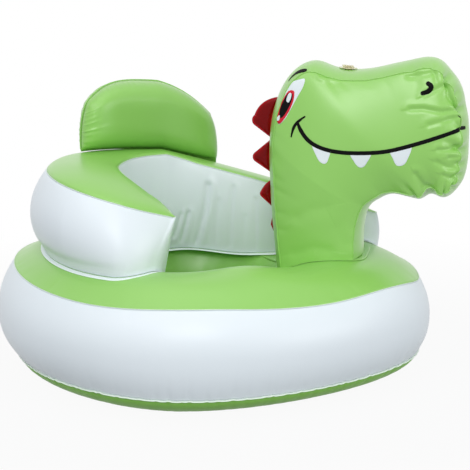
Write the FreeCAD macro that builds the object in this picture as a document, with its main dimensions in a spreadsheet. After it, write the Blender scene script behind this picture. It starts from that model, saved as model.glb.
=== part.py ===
import FreeCAD, Part
import math
import os

# Inflatable baby seat: welded film panels round air chambers, and three push-in air valves.
# Frame: origin on the floor under the middle of the base, +X to the animal's muzzle, +Z up.

Vector = FreeCAD.Vector
doc = FreeCAD.newDocument("inflatable_seat")
sheet = doc.addObject("Spreadsheet::Sheet", "sizes")

SIZES = [
    ("film_thickness", 0.4), ("seam_gap", 0.4), ("stack_gap", 1.2), ("base_rear_reach", 330),
    ("base_front_reach", 316), ("base_half_width", 283), ("narrowing_start", -120),
    ("narrowing_run", 420), ("base_crest", 175), ("rear_rise", 20), ("front_rise", 11),
    ("base_bulge_level", 85), ("top_seam_level", 146), ("top_seam_inset", 26), ("top_front_ease", 8),
    ("bottom_seam_level", 30), ("bottom_seam_inset", 12), ("bottom_rear_tuck", 15),
    ("bottom_front_tuck", 4), ("bow_rise", 4), ("bottom_round", 58), ("bottom_front_round", 26),
    ("well_offset", -30), ("well_radius", 97), ("well_rim_width", 28), ("well_tuck", 10),
    ("floor_level", 36), ("web_pitch", 52), ("arm_offset", -52), ("arm_radius", 153),
    ("arm_start_angle", 255), ("arm_end_angle", 90), ("arm_front_run", 229), ("arm_front_drift", 22),
    ("arm_half_width", 52), ("arm_inner_bulge", 8), ("arm_outer_bulge", 22), ("arm_back_level", 298),
    ("arm_near_drop", 27), ("arm_near_run", 150), ("arm_far_drop", 68), ("arm_far_run", 300),
    ("arm_cant", 24), ("cant_start", 200), ("cant_run", 240), ("tip_taper", 150), ("tip_shift", 30),
    ("near_tip_tuck", 12), ("arm_crown", 10), ("rest_radius", 162), ("rest_mid_angle", 125), ("rest_half_width", 113),
    ("rest_sag", 29), ("rest_rise", 106), ("rest_half_depth", 42), ("rest_clearance", 1.5),
    ("neck_back", 86), ("head_reach", 273), ("head_rise", 298), ("head_foot", 165),
    ("gusset_half_width", 52), ("gusset_round", 11), ("cheek_bulge", 20), ("fin_thickness", 1.2),
    ("valve_flange_radius", 13), ("valve_flange_depth", 1.2), ("valve_stem_radius", 5.6),
    ("valve_bore_radius", 4), ("valve_stem_length", 15.8), ("valve_collar_radius", 8.6),
    ("valve_collar_depth", 1.2), ("valve_clearance", 0.4), ("plug_cap_radius", 5.4),
    ("plug_cap_depth", 1), ("plug_depth", 5), ("plug_tip_radius", 2.4), ("plug_play", 0.2),
    ("strap_end", 7.2), ("strap_width", 4), ("tab_end", 9), ("flap_radius", 5.2), ("flap_depth", 0.8),
]
for line, (alias, value) in enumerate(SIZES, 1):
    sheet.set("A%d" % line, alias)
    sheet.set("B%d" % line, str(value))
    sheet.setAlias("B%d" % line, alias)
doc.recompute()


def size(alias):
    return float(getattr(sheet, alias))


film = size("film_thickness")
gap = size("seam_gap")

# Shares and exponents that shape the curves
FRONT_NARROWING_SHARE = 0.28
NARROWING_POWER = 2
SIDE_POWER = 2.2
CREST_POWER = 2.5
CREST_EASE = 6
FRONT_FALL_SHARE = 1.1
FRONT_FALL_POWER = 16
END_RISE_POWER = 3
BOW_POWER = 1.5
REAR_TUCK_POWER = 1.2
FRONT_TUCK_POWER = 2
BOTTOM_POWER = 0.88
WALL_POWER = 3
END_WIDTH_SHARE = 0.35
TIP_POWER = 4
TAPER_POWER = 2.5
TAPER_SHARE = 0.97
TAPER_ROUNDING = 0.6
LEAN_POWER = 1.5
NEAR_DROP_POWER = 2.2
FAR_DROP_POWER = 1.05
TIP_SWELL_SHARE = 0.5
SWELL_POWER = 0.8
CROWN_POWER = 0.6
TIP_CROWN_SHARE = 0.4
ARM_EVENNESS = 0.35
REST_NARROWING_SHARE = 0.10
REST_DROP_SHARE = 0.32
REST_CORNER_POWER = 3
PILLOW_POWER = 4
PILLOW_ROUNDING = 0.5
FOOT_ROOM_SHARE = 0.25
GUSSET_POWER = 2.5
CHEEK_POWER = 5
FOOT_SWELL_SHARE = 0.35
FOOT_SHARE = 0.25
FIN_ROUND_SHARE = 0.31
STRAP_SHARE = 0.8
SEWING_SHARE = 0.05

# How finely the curves are sampled
RING_STEPS = 36
RING_ROWS = 8
ARM_STEPS = 30
END_STEPS = 4
ACROSS_STEPS = 6
REST_ROWS = 10
REST_COLUMNS = 12
PATH_STEPS = 44
RAIL_STEPS = 16
HALVINGS = 40
SEAT_SAMPLES = 40


# Surfaces

def interpolated(points, closed):
    """Cubic curve through the points, with evenly numbered parameters."""
    curve = Part.BSplineCurve()
    if closed:
        curve.interpolate(Points=points, PeriodicFlag=True,
                          Parameters=[float(i) for i in range(len(points) + 1)])
    else:
        curve.interpolate(Points=points, Parameters=[float(i) for i in range(len(points))])
    return curve


def skin(rows, closed):
    """Surface through a grid of points: u runs along each row, v from row to row."""
    along = [interpolated(row, closed) for row in rows]
    across = [interpolated(list(column), False) for column in zip(*[c.getPoles() for c in along])]
    surface = Part.BSplineSurface()
    surface.buildFromPolesMultsKnots([c.getPoles() for c in across],
                                     along[0].getMultiplicities(), across[0].getMultiplicities(),
                                     along[0].getKnots(), across[0].getKnots(),
                                     closed, False, along[0].Degree, across[0].Degree)
    return surface


def edge_strip(first, second, closed):
    """Straight-line face between two curves that have the same knots."""
    surface = Part.BSplineSurface()
    surface.buildFromPolesMultsKnots([list(pair) for pair in zip(first.getPoles(), second.getPoles())],
                                     first.getMultiplicities(), [2, 2], first.getKnots(), [0.0, 1.0],
                                     closed, False, first.Degree, 1)
    return surface


def inner_rows(rows, closed, side, flat_start):
    """The same grid moved by the film's thickness against its normals."""
    last_row = len(rows) - 1
    count = len(rows[0])
    result = []
    for i, row in enumerate(rows):
        moved = []
        for j, point in enumerate(row):
            if closed:
                along = row[(j + 1) % count] - row[j - 1]
            else:
                along = row[min(j + 1, count - 1)] - row[max(j - 1, 0)]
            across = rows[min(i + 1, last_row)][j] - rows[max(i - 1, 0)][j]
            normal = along.cross(across).normalize()
            if flat_start and i == 0:
                normal = Vector(0, 0, -side)
            moved.append(point - normal * (film * side))
        result.append(moved)
    return result


def solid_from(faces):
    shell = Part.Shell(faces)
    shell.sewShape(film * SEWING_SHARE)
    solid = Part.Solid(shell)
    if solid.Volume < 0:
        solid.reverse()
    return solid


def panel(rows, closed=False, side=1, flat_start=False):
    """Film panel: an outer and an inner skin joined round their borders."""
    outer = skin(rows, closed)
    inner = skin(inner_rows(rows, closed, side, flat_start), closed)
    u_low, u_high, v_low, v_high = outer.bounds()
    faces = [outer.toShape(), inner.toShape()]
    if flat_start:
        faces += [Part.Face(Part.Wire(s.vIso(v_low).toShape())) for s in (outer, inner)]
    else:
        faces.append(edge_strip(outer.vIso(v_low), inner.vIso(v_low), closed).toShape())
    faces.append(edge_strip(outer.vIso(v_high), inner.vIso(v_high), closed).toShape())
    if not closed:
        faces.append(edge_strip(outer.uIso(u_low), inner.uIso(u_low), False).toShape())
        faces.append(edge_strip(outer.uIso(u_high), inner.uIso(u_high), False).toShape())
    return solid_from(faces)


nodes = []


def add_panel(name, shape):
    feature = doc.addObject("Part::Feature", name)
    feature.Label = name
    feature.Shape = shape
    nodes.append(feature)
    return feature


def spread(count):
    """Evenly spaced values from -1 to 1."""
    return [2.0 * i / count - 1.0 for i in range(count + 1)]


# Base ring

base_middle = (size("base_front_reach") - size("base_rear_reach")) / 2
base_half_length = (size("base_front_reach") + size("base_rear_reach")) / 2
well_middle = Vector(size("well_offset"), 0, 0)


def width_at(x):
    """Half width factor: full behind, narrower towards the front."""
    run = max(0.0, (x - size("narrowing_start")) / size("narrowing_run"))
    return size("base_half_width") * (1 - FRONT_NARROWING_SHARE * run ** NARROWING_POWER)


def outline(turn):
    x = base_middle + base_half_length * math.cos(turn)
    return Vector(x, width_at(x) * math.sin(turn), 0)


def well_edge(turn):
    return well_middle + Vector(math.cos(turn), math.sin(turn), 0) * size("well_radius")


def end_rise(x):
    """How much higher the top lies towards the two ends."""
    share = (x - base_middle) / base_half_length
    rise = size("front_rise") if share > 0 else size("rear_rise")
    return rise * min(abs(share), 1.0) ** END_RISE_POWER


def seam_inset(x):
    """How far the top seam lies inside the widest line: less at the front."""
    share = min(max((x - base_middle) / base_half_length, 0.0), 1.0)
    return size("top_seam_inset") - size("top_front_ease") * share ** END_RISE_POWER


def base_height(x, y, fall=FRONT_FALL_SHARE):
    """Level of the base's top sheet: a crest between the well's rim and the outer seam, steeper at the front."""
    point = Vector(x - base_middle, y, 0)
    reach = max(math.hypot(point.x / base_half_length, point.y / width_at(x)), film)
    outside = point.Length * (1 / reach - 1) - seam_inset(base_middle + point.x / reach)
    inside = (Vector(x, y, 0) - well_middle).Length - size("well_radius") - size("well_rim_width")
    share = abs((inside - outside) / (inside + outside))
    eased = share / (1 + share ** CREST_EASE) ** (1 / CREST_EASE)
    drop = (size("base_crest") - size("top_seam_level")) * 2 ** (CREST_POWER / CREST_EASE)
    ahead = min(max((x - base_middle) / base_half_length, 0.0), 1.0)
    drop *= 1 + fall * ahead ** FRONT_FALL_POWER
    return size("base_crest") - drop * eased ** CREST_POWER + end_rise(x)


def bottom_seam(outer):
    """Level of the bottom seam: higher towards the front."""
    share = max(0.0, outer.x / size("base_front_reach"))
    return size("bottom_seam_level") + size("bow_rise") * share ** BOW_POWER


def front_share(outer):
    return max(0.0, (outer.x - base_middle) / base_half_length)


def bottom_inset(outer):
    """How far the bottom seam lies inside the widest line: more at both ends."""
    rear = max(0.0, (base_middle - outer.x) / base_half_length)
    return (size("bottom_seam_inset") + size("bottom_rear_tuck") * rear ** REAR_TUCK_POWER
            + size("bottom_front_tuck") * front_share(outer) ** FRONT_TUCK_POWER)


ring_turns = [2 * math.pi * i / RING_STEPS for i in range(RING_STEPS)]


def ring_row(place):
    """Closed row of points: place(turn, outer, inner, direction outwards) gives each."""
    row = []
    for turn in ring_turns:
        outer = outline(turn)
        inner = well_edge(turn)
        row.append(place(outer, inner, (outer - inner).normalize()))
    return row


def side_point(share):
    def place(outer, inner, out):
        seam = outer - out * seam_inset(outer.x)
        low = bottom_seam(outer)
        high = base_height(seam.x, seam.y) - gap
        level = low + (high - low) * share
        middle = size("base_bulge_level")
        if level > middle:
            inset = seam_inset(outer.x) * ((level - middle) / (high - middle)) ** SIDE_POWER
        else:
            inset = bottom_inset(outer) * ((middle - level) / (middle - low)) ** SIDE_POWER
        return outer - out * inset + Vector(0, 0, level)
    return place


def top_point(share):
    def place(outer, inner, out):
        first = outer - out * seam_inset(outer.x)
        last = inner + out * size("well_rim_width")
        point = first + (last - first) * share
        return Vector(point.x, point.y, base_height(point.x, point.y) + gap)
    return place


def wall_point(share):
    def place(outer, inner, out):
        edge = inner + out * size("well_rim_width")
        rim = base_height(edge.x, edge.y) - gap
        level = rim + (size("floor_level") - rim) * share
        bend = (1 - share) ** WALL_POWER * size("well_rim_width") + share ** WALL_POWER * size("well_tuck")
        return inner + out * bend + Vector(0, 0, level)
    return place


def underside_point(turn_share):
    def place(outer, inner, out):
        seam = outer - out * bottom_inset(outer)
        level = bottom_seam(outer) - gap
        angle = turn_share * math.pi / 2
        reach = size("bottom_round") + size("bottom_front_round") * front_share(outer)
        return (seam - out * (reach * (1 - math.sin(angle)) ** BOTTOM_POWER)
                + Vector(0, 0, level * (1 - math.cos(angle))))
    return place


valve_hole = size("valve_stem_radius") + 2 * size("valve_clearance")


def pierced(shape, place):
    """Hole for a valve's stem."""
    deep = size("valve_stem_length")
    drill = Part.makeCylinder(valve_hole, 2 * deep, Vector(0, 0, -deep))
    drill.Placement = place
    return shape.cut(drill)


rearward = FreeCAD.Rotation(Vector(0, 1, 0), -90)
base_valve_place = FreeCAD.Placement(Vector(-size("base_rear_reach"), 0, size("base_bulge_level")), rearward)

# Base ring panels

shares = [i / RING_ROWS for i in range(RING_ROWS + 1)]
add_panel("base_side_band", pierced(panel([ring_row(side_point(s)) for s in shares], True),
                                    base_valve_place))
add_panel("base_top_sheet", panel([ring_row(top_point(s)) for s in shares], True))
add_panel("well_wall", panel([ring_row(wall_point(s)) for s in shares], True))
add_panel("base_bottom_sheet", panel([ring_row(underside_point(s)) for s in shares], True,
                                     flat_start=True))


# Seat floor and its webs

floor_sheet = doc.addObject("Part::Cylinder", "seat_floor_sheet")
floor_sheet.Label = "seat_floor_sheet"
floor_sheet.setExpression("Radius", "sizes.well_radius + sizes.well_tuck")
floor_sheet.setExpression("Height", "sizes.film_thickness")
floor_sheet.Placement.Base = Vector(size("well_offset"), 0, size("floor_level") - gap - film)
nodes.append(floor_sheet)

web_low = film + gap
for name, offset in (("floor_web_right", -size("web_pitch")), ("floor_web_middle", 0.0),
                     ("floor_web_left", size("web_pitch"))):
    reach = math.sqrt(size("well_radius") ** 2 - offset ** 2)
    web = doc.addObject("Part::Box", name)
    web.Label = name
    web.Length = 2 * reach
    web.setExpression("Width", "sizes.film_thickness")
    web.setExpression("Height", "sizes.floor_level - 2 * sizes.film_thickness - 3 * sizes.seam_gap")
    web.Placement.Base = Vector(size("well_offset") - reach, offset - film / 2, web_low)
    nodes.append(web)


# Arm ring: a tube bent round the back, open towards the right front

arm_middle = Vector(size("arm_offset"), 0, 0)
arm_sweep = math.radians(size("arm_start_angle") - size("arm_end_angle"))
arm_arc_length = arm_sweep * size("arm_radius")
arm_length = arm_arc_length + size("arm_front_run")
arm_tip = size("arm_half_width") * math.sqrt(1 - END_WIDTH_SHARE ** 2)


def arm_line(distance):
    """Point on the tube's centre line, its forward direction and its outward direction."""
    travelled = min(max(distance, 0.0), arm_arc_length)
    angle = math.radians(size("arm_start_angle")) - travelled / size("arm_radius")
    out = Vector(math.cos(angle), math.sin(angle), 0)
    forward = Vector(math.sin(angle), -math.cos(angle), 0)
    point = arm_middle + out * size("arm_radius") + forward * (distance - travelled)
    run = max(0.0, distance - arm_arc_length) / size("arm_front_run")
    return point - out * (size("arm_front_drift") * run ** 2), forward, out


def beyond_end(distance):
    return max(-distance, distance - arm_length, 0.0)


def tip_taper(distance):
    """From 0 along the tube to 1 at the very tips."""
    from_tip = min(distance, arm_length - distance) + arm_tip
    return max(0.0, 1 - from_tip / size("tip_taper")) ** TAPER_POWER


def arm_level(distance, across=0.0):
    """Level of the seams round the tube's top: lower at both ends, and lower outside on the far arm."""
    near = max(0.0, 1 - distance / size("arm_near_run"))
    far = max(0.0, 1 - (arm_length - distance) / size("arm_far_run"))
    step = min(max((distance - size("cant_start")) / size("cant_run"), 0.0), 1.0)
    cant = size("arm_cant") * step ** 2 * (3 - 2 * step) * (1 - tip_taper(distance)) * (1 + across) / 2
    return (size("arm_back_level") - size("arm_near_drop") * near ** NEAR_DROP_POWER
            - size("arm_far_drop") * far ** FAR_DROP_POWER - cant)


def arm_point(distance, across, rise=0.0):
    """Plan point on the tube: across runs from -1 inside to 1 outside.
    With rise 1, on the top, both tips draw in to a point that lies nearer the seat.
    With rise 0, at the foot, the near tip is shorter than on the top."""
    beyond = beyond_end(distance)
    width = size("arm_half_width") * math.sqrt(1 - (beyond / size("arm_half_width")) ** 2)
    taper = tip_taper(distance)
    narrow = 1 - rise * (1 - (1 - TAPER_SHARE * taper) ** TAPER_ROUNDING)
    tip = (size("arm_half_width") - arm_tip) * (beyond / arm_tip) ** TIP_POWER
    heading = 1 if distance > arm_length / 2 else -1
    tuck = size("near_tip_tuck") * taper * (1 - rise) if heading < 0 else 0.0
    point, forward, out = arm_line(distance + tuck)
    place = width * across * narrow - size("tip_shift") * taper * rise
    return point + out * place + forward * (heading * tip * (1 - across ** 2))


arm_stations = [arm_length / 2 + s * (arm_length / 2 + arm_tip) for s in
                [math.sin(v * math.pi / 2) * ARM_EVENNESS + v * (1 - ARM_EVENNESS)
                 for v in spread(ARM_STEPS)]]


def arm_loop():
    """Closed list of (station, across) round the tube's seam, anticlockwise."""
    ends = spread(END_STEPS)[1:-1]
    places = [(station, 1.0) for station in arm_stations]
    places += [(arm_stations[-1], -across) for across in ends]
    places += [(station, -1.0) for station in reversed(arm_stations)]
    places += [(arm_stations[0], across) for across in ends]
    return places[::-1]


def arm_swell(station, across):
    """How far the side band swells: most on the outside, less near the tips."""
    from_tip = min(station - arm_stations[0], arm_stations[-1] - station)
    ease = min(1.0, from_tip / (2 * size("arm_half_width")))
    extra = size("arm_outer_bulge") - size("arm_inner_bulge")
    inner = size("arm_inner_bulge") * (TIP_SWELL_SHARE + (1 - TIP_SWELL_SHARE) * ease)
    return inner + extra * max(0.0, across) * ease


def arm_band_row(share):
    loop = arm_loop()
    feet = [arm_point(station, across) for station, across in loop]
    lean = share ** LEAN_POWER
    row = []
    for i, (station, across) in enumerate(loop):
        foot = feet[i]
        out = (feet[(i + 1) % len(loop)] - feet[i - 1]).cross(Vector(0, 0, 1)).normalize()
        low = base_height(foot.x, foot.y) + size("stack_gap") + 2 * gap + film
        high = arm_level(station, across)
        plan = foot * (1 - lean) + arm_point(station, across, 1.0) * lean
        swell = arm_swell(station, across) * math.sin(math.pi * share) ** SWELL_POWER
        row.append(plan + out * swell + Vector(0, 0, low + (high - low) * share))
    return row


def arm_top(across):
    row = []
    for station in arm_stations:
        beyond = beyond_end(station) / arm_tip
        slim = 1 - (1 - TIP_CROWN_SHARE) * tip_taper(station)
        crown = size("arm_crown") * slim * (1 - across ** 2) ** CROWN_POWER * (1 - beyond ** TIP_POWER)
        level = arm_level(station, across) + gap + film + crown
        row.append(arm_point(station, across, 1.0) + Vector(0, 0, level))
    return row


def arm_bottom(across):
    row = []
    for station in arm_stations:
        point = arm_point(station, across)
        row.append(point + Vector(0, 0, base_height(point.x, point.y) + gap + size("stack_gap")))
    return row


arm_back = arm_middle.x - size("arm_radius") - size("arm_half_width")
arm_back_low = base_height(arm_back, 0) + size("stack_gap") + 2 * gap + film
arm_valve_level = (arm_back_low + size("arm_back_level")) / 2
arm_valve_seat = Vector(arm_back - size("arm_outer_bulge"), 0, arm_valve_level)
arm_valve_place = FreeCAD.Placement(arm_valve_seat, rearward)
band_shares = [i / ACROSS_STEPS for i in range(ACROSS_STEPS + 1)]
add_panel("arm_side_band", pierced(panel([arm_band_row(s) for s in band_shares], True), arm_valve_place))
add_panel("arm_top_sheet", panel([arm_top(v) for v in spread(ACROSS_STEPS)]))
add_panel("arm_bottom_sheet", panel([arm_bottom(-v) for v in spread(ACROSS_STEPS)]))


# Headrest: two pillow sheets that stand on the arm ring's crest

rest_turn = math.radians(size("rest_mid_angle"))
rest_out = Vector(math.cos(rest_turn), math.sin(rest_turn), 0)
rest_side = Vector(math.sin(rest_turn), -math.cos(rest_turn), 0)


def rest_point(along, up, depth):
    """Along runs from -1 to 1 across the pillow, up from -1 at the foot to 1 at the top."""
    narrow = 1 - REST_NARROWING_SHARE * ((up + 1) / 2) ** REST_CORNER_POWER
    plan = (arm_middle + rest_side * (along * narrow * size("rest_half_width"))
            + rest_out * (size("rest_radius") - size("rest_sag") * along ** 2 + depth))
    angle = math.atan2(plan.y - arm_middle.y, plan.x - arm_middle.x)
    station = (math.radians(size("arm_start_angle")) - angle % (2 * math.pi)) * size("arm_radius")
    foot = arm_level(station) + size("arm_crown") + size("rest_clearance") + gap + 2 * film
    rise = size("rest_rise") * (1 - REST_DROP_SHARE * abs(along) ** REST_CORNER_POWER)
    return plan + Vector(0, 0, foot + rise * (up + 1) / 2)


def rest_rows(side):
    rows = []
    for up in spread(REST_ROWS):
        row = []
        for along in spread(REST_COLUMNS):
            flank = 1 - along ** PILLOW_POWER
            pillow = (flank * (1 - up ** PILLOW_POWER)) ** PILLOW_ROUNDING
            foot_room = FOOT_ROOM_SHARE * flank * (1 - up) / 2
            depth = size("rest_half_depth") * max(pillow, foot_room) + gap
            row.append(rest_point(along, up, side * depth))
        rows.append(row)
    return rows


add_panel("headrest_front_sheet", panel(rest_rows(-1), side=-1))
add_panel("headrest_back_sheet", panel(rest_rows(1)))


# Neck and head: two side sheets joined by one gusset that runs round the profile

def profile_point(shares):
    return Vector(size("neck_back") + shares[0] * size("head_reach"), 0,
                  size("head_foot") + shares[1] * size("head_rise"))


HEAD_PROFILE_SHARES = [
    (0.059, 0.0), (0.026, 0.200), (0.0, 0.453), (0.004, 0.690), (0.079, 0.902), (0.206, 0.972),
    (0.318, 0.943), (0.527, 0.944), (0.773, 0.997), (0.888, 0.955), (0.964, 0.850),
    (1.004, 0.674), (1.008, 0.527),
    (0.980, 0.425), (0.903, 0.357), (0.828, 0.362), (0.762, 0.338), (0.650, 0.346), (0.572, 0.314),
    (0.508, 0.252), (0.480, 0.1275), (0.480, 0.0),
]
NAPE_TOP = 5
VALVE_STATION = 6.35
MUZZLE_TOP = 10
CHIN = 13
profile = interpolated([profile_point(pair) for pair in HEAD_PROFILE_SHARES], False)
profile_end = len(HEAD_PROFILE_SHARES) - 1


def profile_at(station, depth):
    """Point on the profile, moved inwards by depth, and standing on the base."""
    outward = profile.tangent(station)[0].cross(Vector(0, 1, 0))
    return profile.value(station) - outward * depth


def foot_level(x, y):
    return base_height(x, y, 0) + 3 * gap


def standing(point):
    """Seat a foot point on the base, and ease the points above it."""
    lift = foot_level(point.x, point.y) - size("head_foot")
    ease = max(0.0, 1 - (point.z - size("head_foot")) / size("head_foot"))
    return Vector(point.x, point.y, point.z + lift * ease)


def gusset_row(across):
    depth = size("gusset_round") * abs(across) ** GUSSET_POWER
    row = []
    for i in range(PATH_STEPS + 1):
        point = profile_at(profile_end * i / PATH_STEPS, depth)
        row.append(standing(Vector(point.x, across * size("gusset_half_width"), point.z)))
    return row


def rail(first, last, count):
    return [profile_at(first + (last - first) * i / count, size("gusset_round")) for i in range(count + 1)]


def cheek_rows(side):
    """Grid between the four borders of a side sheet, swelling out in the middle."""
    upper = rail(0, MUZZLE_TOP, RAIL_STEPS)
    lower = rail(profile_end, CHIN, RAIL_STEPS)
    front = rail(MUZZLE_TOP, CHIN, ACROSS_STEPS)
    rows = []
    for j in range(ACROSS_STEPS + 1):
        w = j / ACROSS_STEPS
        row = []
        for i in range(RAIL_STEPS + 1):
            a = i / RAIL_STEPS
            foot = upper[0] * (1 - w) + lower[0] * w
            point = (upper[i] * (1 - w) + lower[i] * w + foot * (1 - a) + front[j] * a
                     - upper[0] * ((1 - a) * (1 - w)) - lower[0] * ((1 - a) * w)
                     - upper[-1] * (a * (1 - w)) - lower[-1] * (a * w))
            foot_ease = FOOT_SWELL_SHARE + (1 - FOOT_SWELL_SHARE) * min(1.0, a / FOOT_SHARE)
            swell = math.sin(math.pi * w) ** SWELL_POWER * (1 - a ** CHEEK_POWER) * foot_ease
            y = side * (size("gusset_half_width") + gap + size("cheek_bulge") * swell)
            row.append(standing(Vector(point.x, y, point.z)))
        rows.append(row)
    return rows


crown_point = profile.value(VALVE_STATION)
crown_along = profile.tangent(VALVE_STATION)[0]
crown_out = crown_along.cross(Vector(0, 1, 0))
crown_turn = FreeCAD.Rotation(Vector(0, 1, 0), -math.degrees(math.atan2(crown_along.z, crown_along.x)))


def crown_seat():
    """How high over the crown's dip a flange must lie to clear the whole film under it."""
    highest = 0.0
    for i in range(-SEAT_SAMPLES, SEAT_SAMPLES + 1):
        offset = profile.value(VALVE_STATION + i / SEAT_SAMPLES) - crown_point
        if abs(offset.dot(crown_along)) < size("valve_flange_radius") + size("valve_clearance"):
            highest = max(highest, offset.dot(crown_out))
    return highest


crown_valve_place = FreeCAD.Placement(crown_point + crown_out * crown_seat(), crown_turn)
add_panel("head_gusset", pierced(panel([gusset_row(v) for v in spread(ACROSS_STEPS)]), crown_valve_place))
add_panel("head_left_sheet", panel(cheek_rows(1)))
add_panel("head_right_sheet", panel(cheek_rows(-1), side=-1))


# Crest fins: flat lobes on the nape, smaller towards the neck's foot

# Shares of the head's rise: bottom, top and tip level, how far the tip stands out, and the upper edge's bow
FIN_SHARES = [
    (0.597, 0.795, 0.680, 0.118, 0.008), (0.440, 0.587, 0.506, 0.102, -0.004),
    (0.285, 0.409, 0.345, 0.072, 0.002), (0.161, 0.255, 0.208, 0.032, 0.002),
]


def nape_at(level_share):
    """Nape point at a level, found by halving."""
    low, high = 0.0, float(NAPE_TOP)
    wanted = size("head_foot") + level_share * size("head_rise")
    for _ in range(HALVINGS):
        middle = (low + high) / 2
        if profile.value(middle).z < wanted:
            low = middle
        else:
            high = middle
    return standing(profile_at(low, -2 * gap))


def plane_of(body, role):
    return [f for f in body.Origin.OriginFeatures if f.Role == role][0]


def touching(start, hub, radius, side):
    """Where a line from start touches the circle round hub, on its left (1) or right (-1)."""
    towards = hub - start
    angle = math.atan2(towards.z, towards.x) + side * math.asin(radius / towards.Length)
    return start + Vector(math.cos(angle), 0, math.sin(angle)) * math.sqrt(towards.Length ** 2 - radius ** 2)


def add_fin(name, bottom, top, tip, reach, bow):
    """Flat lobe: a bowed upper edge, a round tip and a straight lower edge."""
    low = nape_at(bottom)
    high = nape_at(top)
    middle = nape_at((bottom + top) / 2)
    radius = reach * size("head_rise") * FIN_ROUND_SHARE
    out = nape_at(tip) - Vector(reach * size("head_rise"), 0, 0)
    hub = out + Vector(radius, 0, 0)
    shoulder = touching(high, hub, radius, -1)
    throat = touching(low, hub, radius, 1)
    upper = (high + shoulder) / 2 + Vector(-1, 0, 1) * (bow * size("head_rise"))
    body = doc.addObject("PartDesign::Body", name)
    body.Label = name
    sketch = body.newObject("Sketcher::SketchObject", name + "_outline")
    sketch.AttachmentSupport = [(plane_of(body, "XZ_Plane"), "")]
    sketch.MapMode = "FlatFace"
    flat = [Vector(p.x, p.z, 0) for p in (low, middle, high, upper, shoulder, out, throat)]
    sketch.addGeometry(Part.Arc(flat[0], flat[1] + Vector(-gap, 0, 0), flat[2]), False)
    sketch.addGeometry(Part.Arc(flat[2], flat[3], flat[4]), False)
    sketch.addGeometry(Part.Arc(flat[4], flat[5], flat[6]), False)
    sketch.addGeometry(Part.LineSegment(flat[6], flat[0]), False)
    doc.recompute()
    pad = body.newObject("PartDesign::Pad", name + "_film")
    pad.Profile = sketch
    pad.setExpression("Length", "sizes.fin_thickness")
    pad.SideType = "Symmetric"
    body.Tip = pad
    nodes.append(body)


for number, shares_of_fin in enumerate(FIN_SHARES, 1):
    add_fin("crest_fin_%d" % number, *shares_of_fin)


# Air valves: flange on the film, sliding stem with its check flap, and a plug on a strap

def cylinder(name, radius, depth, level):
    part = doc.addObject("Part::Cylinder", name)
    part.setExpression("Radius", radius)
    part.setExpression("Height", depth)
    part.Placement.Base = Vector(0, 0, level)
    return part


def combine(kind, name, shapes):
    part = doc.addObject(kind, name)
    if kind == "Part::Cut":
        part.Base, part.Tool = shapes
    else:
        part.Shapes = shapes
    return part


def add_valve(name, place):
    flange_top = gap + size("valve_flange_depth")
    collar_low = flange_top + gap
    collar_top = collar_low + size("valve_collar_depth")
    cap_low = collar_top + gap
    stem_low = collar_top - size("valve_stem_length")

    flange_disc = cylinder(name + "_flange_disc", "sizes.valve_flange_radius",
                           "sizes.valve_flange_depth", gap)
    flange_hole = cylinder(name + "_flange_hole", "sizes.valve_stem_radius + sizes.valve_clearance",
                           "2 * sizes.valve_flange_depth", gap - size("valve_flange_depth") / 2)
    flange = combine("Part::Cut", name + "_flange", (flange_disc, flange_hole))

    collar = cylinder(name + "_collar", "sizes.valve_collar_radius", "sizes.valve_collar_depth", collar_low)
    tube = cylinder(name + "_tube", "sizes.valve_stem_radius", "sizes.valve_stem_length", stem_low)
    whole = combine("Part::MultiFuse", name + "_collar_and_tube", [collar, tube])
    bore = cylinder(name + "_bore", "sizes.valve_bore_radius", "2 * sizes.valve_stem_length",
                    stem_low - size("valve_stem_length") / 2)
    stem = combine("Part::Cut", name + "_stem", (whole, bore))

    cap = cylinder(name + "_cap", "sizes.plug_cap_radius", "sizes.plug_cap_depth", cap_low)
    taper = doc.addObject("Part::Cone", name + "_taper")
    taper.setExpression("Radius1", "sizes.plug_tip_radius")
    taper.setExpression("Radius2", "sizes.valve_bore_radius - sizes.plug_play")
    taper.setExpression("Height", "sizes.plug_depth + sizes.seam_gap")
    taper.Placement.Base = Vector(0, 0, collar_top - size("plug_depth"))
    strap = doc.addObject("Part::Box", name + "_strap")
    strap.setExpression("Length", "sizes.strap_end + sizes.tab_end")
    strap.setExpression("Width", "sizes.strap_width")
    strap.Height = STRAP_SHARE * size("plug_cap_depth")
    strap.Placement.Base = Vector(-size("tab_end"), -size("strap_width") / 2, cap_low)
    plug = combine("Part::MultiFuse", name + "_plug", [cap, taper, strap])

    flap = cylinder(name + "_flap", "sizes.flap_radius", "sizes.flap_depth",
                    stem_low - gap - size("flap_depth"))
    print("%s at %s, outwards %s, towards its hinge %s, cap level %.2f, flap level %.2f" % (
        name, place.Base, place.Rotation.multVec(Vector(0, 0, 1)), place.Rotation.multVec(Vector(1, 0, 0)),
        cap_low, stem_low - gap))
    for feature in (flange, stem, plug, flap):
        feature.Label = feature.Name
        feature.Placement = place.multiply(feature.Placement)
        nodes.append(feature)


add_valve("base_valve", base_valve_place)
add_valve("arm_valve", arm_valve_place)
add_valve("head_valve", crown_valve_place)

doc.recompute()
for feature in doc.Objects:
    if "Invalid" in feature.State or "Error" in feature.State:
        raise RuntimeError("%s failed: %s" % (feature.Name, feature.State))
for node in nodes:
    if node.Shape.isNull() or not node.Shape.isValid() or not node.Shape.Solids:
        raise RuntimeError("%s has no valid solid" % node.Label)

os.makedirs("parts", exist_ok=True)
for node in nodes:
    node.Shape.exportStep("parts/%s.step" % node.Label)
    box = node.Shape.BoundBox
    print("%-22s %8.0f mm3  x %.0f %.0f  y %.0f %.0f  z %.1f %.1f" % (
        node.Label, node.Shape.Volume, box.XMin, box.XMax, box.YMin, box.YMax, box.ZMin, box.ZMax))
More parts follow.
